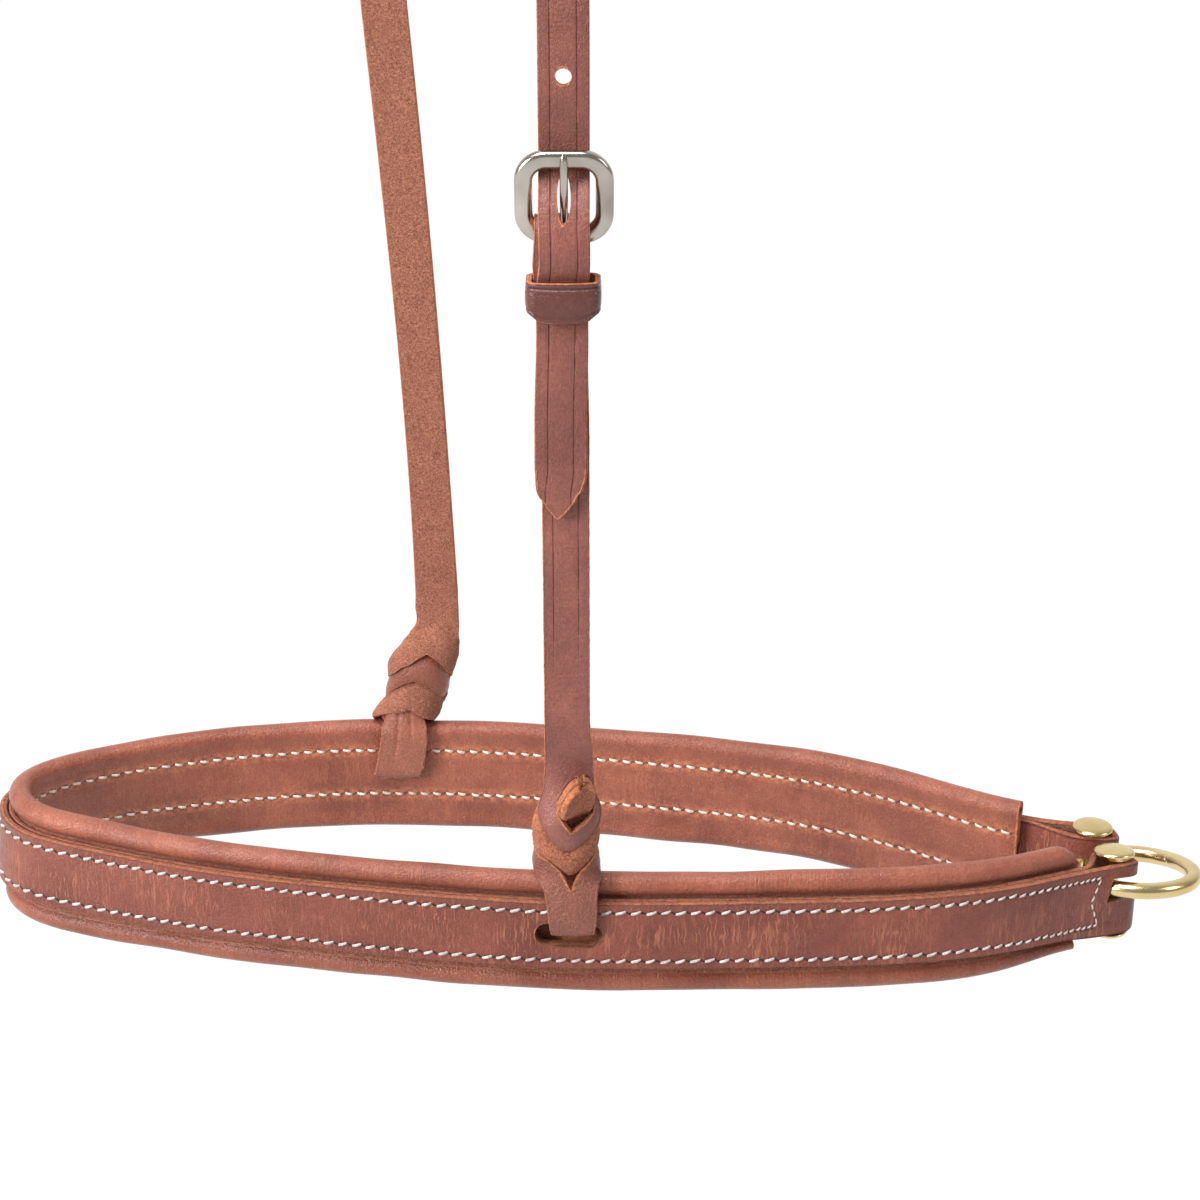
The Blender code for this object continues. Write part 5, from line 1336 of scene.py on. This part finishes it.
LOW_ARCH = (
    (-10.2, 1.0, -9.0, 6.0, -0.6, -0.2, -0.6), (-7.9, 2.6, -6.0, 8.6, -0.2, 0.3, -0.5),
    (-5.2, 3.5, -3.6, 11.5, 0.2, 0.4, -0.9), (-2.1, 4.2, -0.8, 13.8, 0.3, 0.4, -1.1),
    (1.0, 4.6, 2.2, 15.4, 0.3, 0.4, -1.2), (3.9, 5.5, 5.4, 16.2, 0.3, 0.4, -1.2),
    (5.9, 4.2, 8.4, 15.2, 0.4, 0.5, -1.1), (7.9, 2.8, 10.6, 13.2, 0.4, 0.6, -0.9),
    (9.8, 2.2, 12.6, 10.6, 0.2, 0.5, -0.6), (12.2, 1.6, 14.6, 7.4, -0.2, 0.2, -0.6),
    (14.5, 0.6, 16.5, 5.4, -0.8, -0.6, -1.0),
)
HIGH_ARCH = (
    (-6.6, 5.0, -6.2, 14.5, -0.9, -0.4, -0.9), (-4.2, 8.0, -3.8, 17.0, -0.4, 0.3, -0.7),
    (-2.2, 10.8, -1.2, 19.4, 0.3, 0.5, -0.8), (0.6, 13.1, 2.0, 21.6, 0.5, 0.6, -1.0),
    (3.4, 14.3, 5.4, 23.6, 0.5, 0.6, -1.1), (5.4, 14.7, 8.8, 24.8, 0.5, 0.7, -1.2),
    (8.7, 13.7, 11.6, 23.6, 0.5, 0.7, -1.1), (10.7, 12.0, 13.8, 21.0, 0.4, 0.6, -0.9),
    (12.8, 9.9, 15.4, 18.0, -0.2, 0.3, -0.8), (15.2, 9.2, 17.6, 16.0, -1.5, -1.1, -1.5),
    (17.4, 9.0, 19.4, 14.6, -2.4, -2.0, -2.2),
)
# the strap over the arches: its left edge, right edge and the two slanting cuts that meet at its middle
SPLIT_LEFT = ((6.0, 38.0), (6.0, 33.0), (3.4, 29.2), (0.4, 25.2), (-2.8, 21.5), (-4.6, 18.5), (-5.4, 14.6))
SPLIT_RIGHT = ((17.8, 38.0), (17.9, 33.0), (18.2, 29.0), (18.6, 25.0), (18.8, 21.5), (18.6, 18.0), (18.4, 14.6))
SPLIT_LOW = ((-5.4, 14.6), (-1.7, 16.4), (0.1, 17.9), (1.8, 19.3), (4.2, 20.2), (6.3, 21.9), (9.0, 23.6), (11.0, 22.3),
             (13.0, 20.4), (14.9, 17.6), (18.4, 14.6))
STEM_FOLDS = ((0.36, 0.2), (0.66, 0.45))
print("stem, slit, ribbon, eye, split end and two arches are outlined")


# %% The split end of the strap, between four outlines
SPLIT_MIDDLE, SPLIT_LIFT, RIDGE_LIFT = 11.9, 1.5, 0.8


def along_line(points, count):
    line, length = smooth_line(points, places=2)
    return line(np.linspace(0.0, length, count))


def split_end(side, rows=56, columns=29, hidden=False):
    """A grid between two side edges, a straight top and the two slanting cuts."""
    left, right = along_line(SPLIT_LEFT, rows), along_line(SPLIT_RIGHT, rows)
    low = np.array(SPLIT_LOW)
    steps = np.concatenate([[0.0], np.cumsum(np.linalg.norm(np.diff(low, axis=0), axis=1))])
    v = np.linspace(0.0, 1.0, columns)
    low = np.column_stack([np.interp(v * steps[-1], steps, low[:, k]) for k in (0, 1)])
    top = left[0] * (1 - v[:, None]) + right[0] * v[:, None]
    u = np.linspace(0.0, 1.0, rows)[:, None, None]
    w = v[None, :, None]
    sides = left[:, None] * (1 - w) + right[:, None] * w
    ends = top[None] * (1 - u) + low[None] * u
    corners = (left[0] * (1 - u) * (1 - w) + right[0] * (1 - u) * w + left[-1] * u * (1 - w) + right[-1] * u * w)
    flat_places = sides + ends - corners
    x, z = flat_places[..., 0], flat_places[..., 1]
    lift = SPLIT_LIFT * ease((u[..., 0] - 0.25) / 0.5) * np.ones_like(x)
    ridge = np.exp(-(((w[..., 0] - 0.1) / 0.1) ** 2)) * np.exp(-(((u[..., 0] - 0.62) / 0.22) ** 2))
    lift = lift + RIDGE_LIFT * ridge
    if hidden:
        x = SPLIT_MIDDLE + (x - SPLIT_MIDDLE) * (1.0 - 0.3 * (1 - ease(u[..., 0] / 0.75)))
    return knot_point(side, "inner", x, z, lift, squeeze=0.76 if hidden else 1.0)


def thin_start(rows):
    """A sheet that starts thin, inside the strap it belongs to."""
    return 1.3 + (HANGER_THICKNESS - 1.3) * ease(np.linspace(0.0, 1.0, rows) / 0.35)


def knot_core(side):
    """The leather inside a knot, so that no gap between the layers shows through."""
    levels = np.linspace(-1.0, 26.0, 40)[:, None]
    turn = turns(40)[None, :]
    body = KNOTS[side]
    left, right, centre = (c[:, None] for c in body["sides"](levels[:, 0]))
    deep = np.maximum(DEPTHS["inner"](levels[:, 0])[0][:, None] - HANGER_THICKNESS, 0.4)
    x = body["x"] + (left + right) / 2 + ((right - left) / 2 - HANGER_THICKNESS) * np.cos(turn)
    y = body["y"] + body["out"] * centre + deep * np.sin(turn)
    core = np.stack([x, y, world_z(BAND_HEIGHT + levels - 2.4 + 0 * turn)], -1)
    whole = np.ones(core.shape[:2])
    marks = {"place": core.copy(), "flesh": whole, "rim": 0 * whole, "close": 0 * whole}
    return skin(f"{side}_knot_core", core, smooth_leather, marks)


print("split end, thin start and core are ready")


# %% The cut tip and the leathers of the knots
TIP = (
    (1.5, 21.9, -1.8), (1.5, 21.9, 0.2), (1.7, 22.4, 2.0), (2.0, 23.6, 3.5), (2.3, 25.0, 4.6), (2.6, 26.6, 5.5),
    (2.8, 28.4, 6.2), (2.9, 29.9, 6.6),
)


def cut_tip(side, yaw=34.0):
    """The end of the strap, pulled through the eye and turned so that its left cut edge shows."""
    line, length = smooth_line(TIP, places=3)
    share = np.sin(np.linspace(0.0, np.pi / 2, 34))
    rows = line(share * length)
    taper = np.sqrt(np.clip(1.0 - ((share - 0.56) / np.where(share > 0.56, 0.445, 0.8)) ** 2, 0.02, 1.0))
    width = 9.6 * taper
    grid = knot_point(side, "outer", rows[:, 0:1], rows[:, 1:2], rows[:, 2:3] - 1.5, np.zeros((34, 1)))
    turn = 1.0 if side == "near" else -1.0
    a = math.radians(yaw)
    across = np.array((math.cos(a) * turn, math.sin(a) * turn, 0.0))
    v = np.linspace(-0.5, 0.5, 17)
    bow = np.array((0.0, -turn, 0.0)) * (1.0 - 4 * v**2)[:, None] * -0.9
    return grid + across * (width[:, None] * v)[..., None] + bow[None]


smooth_leather = leather_finish(
    "knot_leather", (shade(104, 54, 42), shade(150, 86, 68)), KNOT_SUEDE, RAW_EDGE, wrinkle=0.05, gloss=0.24,
    pebble=1.8,
)
# a lighter copy of the knot leather for the far knot's inner layers: partly a worn look, partly painted light where
# these layers lie in shade
worn_lit_leather = leather_finish(
    "worn_lit_knot_leather", (shade(124, 68, 52), shade(172, 106, 84)), SUEDE, RAW_EDGE, wrinkle=0.05, gloss=0.28,
)
print("knot leathers", smooth_leather.name, worn_lit_leather.name)


# %% All layers of a knot
def knot_pieces(side, node):
    """The layers of one knot that aren't part of a long strap."""
    made = []

    def layer(label, grid, finish, grain, thickness=HANGER_THICKNESS, corner=0.6, relief=0.0):
        piece = leather(f"{side}_knot_{label}", grid, thickness, finish, grain=grain, corner=corner, relief=relief,
                        raw_edge=0.5)
        made.append(piece)
        return piece

    hidden = 0.8 if side == "far" else 1.0
    # on the far knot the inner layers take the lighter copy, which paints light on them
    seen_inside = worn_lit_leather if side == "far" else smooth_leather
    stem = layer("outer_stem", sheet(side, "outer", STEM_OUTSIDE, 110, 45, squeeze=hidden), smooth_leather, -1.0)
    front = knot_spot(side, 0.0, 5.0)
    outline = [(knot_spot(side, x, z, flat=1.0) - front)[[0, 2]] for x, z in STEM_SLIT]
    cut(stem, outline, front, (1, 0, 0), (0, 0, 1), (0, 1, 0), 3.6, lip=0.95, lip_width=0.8)
    layer("ribbon", sheet(side, "outer", RIBBON, 96, 19, squeeze=hidden), smooth_leather, -1.0)
    down, over = np.linspace(0, 1, 90)[:, None], np.linspace(0, 1, 45)[None, :]
    folds = sum(np.exp(-(((over - at) / 0.05) ** 2)) * ease((down - low) / 0.3) for at, low in STEM_FOLDS)
    layer("inner_stem", sheet(side, "inner", STEM_INSIDE, 90, 45), seen_inside, -1.0, relief=-0.3 * folds)
    layer("low_arch", sheet(side, "inner", LOW_ARCH, 96, 21), seen_inside, -1.0)
    layer("high_arch", sheet(side, "inner", HIGH_ARCH, 96, 21), seen_inside, 1.0)
    layer("tip", cut_tip(side), smooth_leather, 1.0, thickness=3.6, corner=1.3)
    made.append(knot_core(side))
    for seed, piece in enumerate(made):
        roughen(piece, 0.16, seed + 1)
        roughen(piece, 0.12, seed + 20, where="rim")
        settle(piece, "hanger", node)
    return made


near_layers = knot_pieces("near", "cheek_strap")
far_layers = knot_pieces("far", "crown_strap")
extra_layers = [
    leather("near_knot_split_end", split_end("near", hidden=True), thin_start(56), smooth_leather,
            grain=-1.0, corner=0.6),
    leather("far_knot_eye", sheet("far", "outer", EYE[2:], 100, 33), thin_start(100), smooth_leather,
            grain=1.0, corner=0.6),
]
for piece, node in zip(extra_layers, ("cheek_strap", "crown_strap")):
    settle(piece, "hanger", node)
print("knot layers", len(near_layers) + len(far_layers) + len(extra_layers))

# %% The cheek strap with its chape
def cheek_rows():
    down = (CHAPE_LENGTH, 24.0, 16.0, CHAPE_CLOSED)
    rows = [(CHEEK_X - 0.5, CHAPE_Y, BAR_HEIGHT - h, CHAPE_WIDTH, 0.0) for h in down]
    rows.append((CHEEK_X - 0.6, CHAPE_Y + CHAPE_PINCH_OFF, BAR_HEIGHT - CHAPE_PINCH, CHEEK_WIDTH, 0.0))
    for angle in np.radians(np.linspace(-35.0, 180.0, 11)):
        y = BAR_Y + CHAPE_BEND * math.cos(angle)
        rows.append((CHEEK_X - 1.2, y, BAR_HEIGHT + CHAPE_BEND * math.sin(angle), CHEEK_WIDTH, 0.0))
    for h, off in ((186.0, 1.6), (178.0, 0.8), (165.0, 0.3), (150.0, 0.0), (135.0, 0.0), (120.0, 0.0), (105.0, 0.0),
                   (90.0, 0.0), (78.0, 0.0)):
        rows.append((CHEEK_X - off, CHEEK_Y, h, CHEEK_WIDTH, 0.0))
    rows.append((CHEEK_X, CHEEK_Y, 73.0, 11.0, 0.0))
    return rows


cheek_grid = np.vstack([strap_grid(cheek_rows()), sheet("near", "outer", EYE, 110, 29)])
cheek = leather(
    "cheek_strap_leather", cheek_grid, HANGER_THICKNESS, creased_leather, grain=1.0, corner=0.45,
    relief=crease_relief(cheek_grid), raw_edge=0.45, phase=creased(cheek_grid),
)
EYE_LEVEL, EYE_LIFT = 21.0, 1.3
eye_outline = [(x, z - EYE_LEVEL) for x, z in EYE_HOLE]
eye_front = knot_spot("near", 0.0, EYE_LEVEL, EYE_LIFT)
cut(cheek, eye_outline, eye_front, (1, 0, 0), (0, 0, 1), (0, 1, 0), 3.0, lip=0.95, lip_width=0.7)
roughen(cheek, 0.1, 5, where="rim")
settle(cheek, "hanger", "cheek_strap")
print("cheek strap", len(cheek.data.polygons))


# %% The crown strap and billet
def crown_bend(side):
    flat = np.array((math.sin(CROWN_TURN), -math.cos(CROWN_TURN)))
    rows = []
    for angle in np.radians((0.0, 15.0, 30.0, 45.0, 60.0, 75.0, 86.0)):
        out = (CROWN_HALF_RUN + CROWN_BEND * math.sin(angle)) * side
        h = CROWN_HEIGHT + HANGER_THICKNESS / 2 - CROWN_BEND * (1.0 - math.cos(angle))
        rows.append((*(flat * out), h, CROWN_WIDTH, CROWN_TURN))
    return rows


def crown_rows():
    behind_bar = BAR_Y - BUCKLE_LEAN + FRAME_HALF_DEPTH + 2 * GAP + HANGER_THICKNESS / 2
    crossing_y = CHEEK_Y - HANGER_THICKNESS / 2
    slack_y = BILLET_Y - BILLET_SLACK
    bar = BAR_HEIGHT
    far = [(-10.6, 48.2, 73.0, 11.7, 0.0), (-10.9, 47.8, 85.0, 11.4, 0.0), (-15.3, 42.9, 182.0, CROWN_WIDTH, 0.0)]
    far += crown_bend(-1)[::-1]
    near = crown_bend(1)
    near += [(25.5, -36.0, 330.0, CROWN_WIDTH, CROWN_TURN / 2), (26.7, -40.3, 240.0, CROWN_WIDTH, 0.0)]
    near += [
        (CHEEK_X, behind_bar, bar + BUCKLE_RISE + 4 * FRAME_HALF_WIDTH, CROWN_WIDTH, 0.0),
        (CHEEK_X, behind_bar, bar + BUCKLE_RISE - FRAME_HALF_WIDTH, CROWN_WIDTH, 0.0),
        (CHEEK_X, crossing_y, bar + CROSSING_RISE, CROWN_WIDTH, 0.0),
        (CHEEK_X, slack_y, bar + CHAPE_BEND, 11.2, 0.0),
        (CHEEK_X, slack_y, bar - 2 * FRAME_HALF_DEPTH - CHAPE_BEND, 11.2, 0.0),
        (CHEEK_X - 0.3, BILLET_Y, 183.0, 11.3, 0.0),
        (CHEEK_X - 0.5, BILLET_Y, 172.0, 11.5, 0.0),
        (CHEEK_X - 0.9, BILLET_Y, 155.0, 11.8, 0.0),
        (CHEEK_X - BILLET_OFF, BILLET_Y, BILLET_TIP + 12.0, 12.0, 0.0),
    ]
    return far + near


crown_grid = np.vstack([split_end("far")[::-1], strap_grid(crown_rows())])
TIP_LEFT = ((0.0, -0.9), (0.4, -1.7), (3.0, -3.7), (6.4, -5.7), (7.6, -5.95), (12.0, -6.0))
TIP_RIGHT = ((0.0, -0.9), (0.4, -0.2), (2.0, 1.4), (4.6, 3.4), (7.8, 5.0), (10.8, 5.9), (12.0, 6.0))
tip = []
for rise in np.concatenate([np.arange(11.4, 1.0, -0.8), np.arange(1.0, 0.05, -0.22)]):
    left = np.interp(rise, *zip(*TIP_LEFT))
    right = np.interp(rise, *zip(*TIP_RIGHT))
    tip.append((CHEEK_X - BILLET_OFF + (left + right) / 2, BILLET_Y, world_z(BILLET_TIP + rise), right - left, 0.0))
crown_grid = np.vstack([crown_grid, turned_grid(np.array(tip), crown_grid.shape[1])])
cut_rows = np.full(len(crown_grid), 0.5)
cut_rows[-len(tip):] = 0.9
crown = leather(
    "crown_strap_leather", crown_grid, HANGER_THICKNESS, creased_leather, grain=1.0, corner=0.45,
    relief=crease_relief(crown_grid), raw_edge=cut_rows, phase=creased(crown_grid),
)
for i in range(HOLE_COUNT):
    size = (3.0, 10.2) if i == 0 else (3.6, 3.6)
    outline = [(size[0] / 2 * math.cos(a), size[1] / 2 * math.sin(a)) for a in turns(20)]
    centre = (CHEEK_X, CHEEK_Y - HANGER_THICKNESS / 2, world_z(BAR_HEIGHT + CROSSING_RISE + i * HOLE_PITCH))
    cut(crown, outline, centre, (1, 0, 0), (0, 0, 1), (0, 1, 0), 12.0)
settle(crown, "hanger", "crown_strap")
print("crown strap", len(crown.data.polygons))

# %% [markdown]
# ## Buckle and keeper
#
# The buckle is a rounded frame with a straight lower bar, on which the chape and the tongue turn. The keeper is a
# closed loop of leather that slides over both plies and holds the billet down; two creased lines run round it.


# %% Buckle frame and tongue
FRAME_WIDTH, FRAME_CORNER, WIRE_RADIUS = 21.7, 5.0, 0.9


def buckle():
    half = FRAME_WIDTH / 2 - FRAME_HALF_WIDTH
    low = np.array((CHEEK_X, BAR_Y, world_z(BAR_HEIGHT)))
    up = np.array((0.0, -BUCKLE_LEAN, BUCKLE_RISE))
    tall = np.linalg.norm(up)
    rise, across = up / tall, np.array((1.0, 0.0, 0.0))
    through = np.cross(across, rise)
    inset = FRAME_CORNER
    turn = turns(24)
    wide = np.sign(np.cos(turn)) * np.abs(np.cos(turn)) ** 0.7 * FRAME_HALF_WIDTH
    deep = np.sign(np.sin(turn)) * np.abs(np.sin(turn)) ** 0.7 * FRAME_HALF_DEPTH
    rings = []
    corners = ((half - inset, inset, -90), (half - inset, tall - inset, 0), (inset - half, tall - inset, 90),
               (inset - half, inset, 180))
    for cx, cy, first in corners:
        for angle in np.radians(np.linspace(first, first + 90.0, 17)):
            outward = across * math.cos(angle) + rise * math.sin(angle)
            centre = low + across * cx + rise * cy + outward * inset
            rings.append(centre + outward * wide[:, None] + through * deep[:, None])
    return skin("buckle_frame_metal", np.array(rings), nickel, closed_rows=True)


def tube(points, radii, count=16, side=(1.0, 0.0, 0.0)):
    """Round sections along a line that bends in one plane."""
    points = np.asarray(points, float)
    along = unit(np.gradient(points, axis=0))
    side = np.broadcast_to(np.array(side), points.shape)
    other = np.cross(along, side)
    turn = turns(count)[None, :, None]
    outward = side[:, None] * np.cos(turn) + other[:, None] * np.sin(turn)
    return points[:, None] + outward * np.asarray(radii)[:, None, None]


def tongue():
    eye = FRAME_HALF_WIDTH + GAP + WIRE_RADIUS
    centre = np.array((CHEEK_X, BAR_Y, world_z(BAR_HEIGHT)))
    turn = np.radians(np.linspace(-150.0, 150.0, 31))
    loop = centre + np.column_stack([0 * turn, eye * np.cos(turn), eye * np.sin(turn)])
    rest_y = BAR_Y - BUCKLE_LEAN - FRAME_HALF_DEPTH - GAP - WIRE_RADIUS
    end = np.array((CHEEK_X, rest_y, world_z(BAR_HEIGHT + BUCKLE_RISE + 0.8 * FRAME_HALF_WIDTH)))
    t = np.linspace(0.08, 1.0, 20)[:, None]
    shaft = loop[-1] * (1 - t) + end * t - np.array((0.0, 0.35, 0.0)) * np.sin(np.pi * t)
    points = np.vstack([loop, shaft])
    radii = np.full(len(points), WIRE_RADIUS)
    radii[-4:] = (0.86, 0.78, 0.62, 0.35)
    return skin("buckle_tongue_metal", tube(points, radii), nickel)


settle(buckle(), "hanger", "buckle_frame")
settle(tongue(), "tongue", "buckle_tongue")
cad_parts["chape_stitch"].data.materials[0] = inner_thread
print("buckle made")


# %% The keeper
def keeper():
    width, height, wall, corner, room, bottom, off = 16.3, 8.9, 1.3, 1.2, 0.4, 174.2, 0.25
    front = BILLET_Y - HANGER_THICKNESS / 2 - room
    back = CHAPE_Y + HANGER_THICKNESS / 2 + room
    middle_y = (front + back) / 2
    half = np.array((width / 2 - wall - corner, (back - front) / 2 - corner))
    path = []
    corners = half * np.array(((1, -1), (1, 1), (-1, 1), (-1, -1)))
    for k, here in enumerate(corners):
        for angle in np.radians(np.linspace(90.0 * k - 90.0, 90.0 * k, 9)):
            path.append((*here, math.cos(angle), math.sin(angle)))
        for t in (0.2, 0.4, 0.6, 0.8):
            between_corners = here * (1 - t) + corners[(k + 1) % 4] * t
            path.append((*between_corners, math.cos(angle), math.sin(angle)))
    share = np.linspace(0.0, 1.0, 41)
    grid = []
    for x, y, dx, dy in path:
        reach = corner + wall / 2
        low = bottom + 2.2 * ease((abs(x + dx * reach) - 4.6) / 3.4)
        h = low + (bottom + height - low) * share
        bow = 1.0 * (1 - (x / (half[0] + reach)) ** 2) * (dy < -0.5)
        grid.append(np.column_stack([
            np.full(41, CHEEK_X - off + x + dx * reach), np.full(41, middle_y + y + dy * reach - bow), world_z(h),
        ]))
    relief = 0.25 * (1 - (2 * share - 1) ** 2)
    relief -= sum(deep * np.exp(-(((share - c) / 0.03) ** 2)) for c, deep in ((0.15, 0.2), (0.72, 0.2), (0.86, 0.4)))
    made = leather("sliding_keeper_loop", np.array(grid), wall, keeper_leather, grain=1.0, corner=0.4,
                   relief=np.broadcast_to(relief, (len(path), 41)), closed_rows=True)
    return settle(made, "sliding_keeper", "keeper")


print("keeper", len(keeper().data.polygons))

# %% [markdown]
# ## Floor, light and camera
#
# The noseband hangs in the air over a plain pale floor. The camera stands where the photographer stood, a little
# above the band. The light is a big soft lamp above, a second one in front, and a pale world. The white ground
# comes from the floor's own colour for the camera, so that no extra light falls on the leather.


# %% The floor and the world
def white_ground():
    made, tree, shader = new_finish("pale_floor")
    output = tree.nodes["Material Output"]
    shader.inputs["Base Color"].default_value = (0.65, 0.65, 0.65, 1.0)
    shader.inputs["Roughness"].default_value = 0.9
    rays = add_node(tree, "ShaderNodeLightPath")
    seen = calc(tree, "MAXIMUM", rays.outputs["Is Camera Ray"], rays.outputs["Is Glossy Ray"])
    seen = calc(tree, "MAXIMUM", seen, rays.outputs["Is Transmission Ray"])
    glow = add_node(tree, "ShaderNodeEmission", {"Color": (1, 1, 1, 1), "Strength": 1.06}).outputs[0]
    both = add_node(tree, "ShaderNodeMixShader", {0: times(tree, seen, 0.93), 1: shader.outputs[0], 2: glow}).outputs[0]
    tree.links.new(both, output.inputs["Surface"])
    return made


FLOOR_Z, FLOOR_HALF = -0.8, 9.0
floor_mesh = bpy.data.meshes.new("floor")
corners = [(-FLOOR_HALF, -FLOOR_HALF), (FLOOR_HALF, -FLOOR_HALF), (FLOOR_HALF, FLOOR_HALF), (-FLOOR_HALF, FLOOR_HALF)]
floor_mesh.from_pydata([(x, y, FLOOR_Z) for x, y in corners], [], [(0, 1, 2, 3)])
floor_mesh.materials.append(white_ground())
floor = bpy.data.objects.new("floor", floor_mesh)
bpy.context.scene.collection.objects.link(floor)
floor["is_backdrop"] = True

world = bpy.data.worlds.new("studio")
bpy.context.scene.world = world
world.use_nodes = True
sky = world.node_tree
background = sky.nodes["Background"]
rays = add_node(sky, "ShaderNodeLightPath")
seen = calc(sky, "MAXIMUM", rays.outputs["Is Camera Ray"], rays.outputs["Is Transmission Ray"])
direction = add_node(sky, "ShaderNodeTexCoord").outputs["Generated"]
BRIGHT_SIDE, DIM, BRIGHT = (0.0, 0.88, 0.47), 0.32, 0.95
behind = add_node(sky, "ShaderNodeVectorMath", {0: direction, 1: BRIGHT_SIDE}, operation="DOT_PRODUCT")
lit = between(sky, behind.outputs["Value"], 0.35, 0.9, DIM, BRIGHT)
background.inputs["Color"].default_value = (1, 1, 1, 1)
put(sky, background.inputs["Strength"], calc(sky, "MAXIMUM", seen, lit))
print("floor at", FLOOR_Z)


# %% Lamps and camera
def lamp(name, place, aim, size, power):
    data = bpy.data.lights.new(name, "AREA")
    data.shape, data.size, data.energy = "SQUARE", size, power
    made = bpy.data.objects.new(name, data)
    made.location = place
    made.rotation_euler = (Vector(aim) - Vector(place)).to_track_quat("-Z", "Y").to_euler()
    bpy.context.scene.collection.objects.link(made)


BAND_MIDDLE = (0.03, 0.0, -0.42)
lamp("top_lamp", (-0.25, -0.35, 0.75), BAND_MIDDLE, 0.7, 15.0)
lamp("front_left_lamp", (-1.1, -0.8, 0.1), BAND_MIDDLE, 0.6, 21.0)
lamp("right_lamp", (1.1, -0.4, 0.25), BAND_MIDDLE, 0.5, 3.0)

camera_data = bpy.data.cameras.new("camera")
camera_data.lens, camera_data.sensor_width = 66.0, 36.0
camera = bpy.data.objects.new("camera", camera_data)
camera.location = (0.0345, -0.517, -0.1757)
camera.rotation_euler = (math.radians(68.245), 0.0, 0.0)
bpy.context.scene.collection.objects.link(camera)
bpy.context.scene.camera = camera
bpy.context.scene.view_settings.view_transform = "Standard"
print("camera at", tuple(camera.location))

# %% [markdown]
# ## Finish
#
# The script notes the size of the imported model and of the finished one, so that the two can be compared.

# %% Sizes, and the last line
def plain(value):
    """Vectors as lists of numbers."""
    return [plain(v) for v in value] if hasattr(value, "__len__") else float(value)


{"cad": plain(cad_box), "visual": plain(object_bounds())}
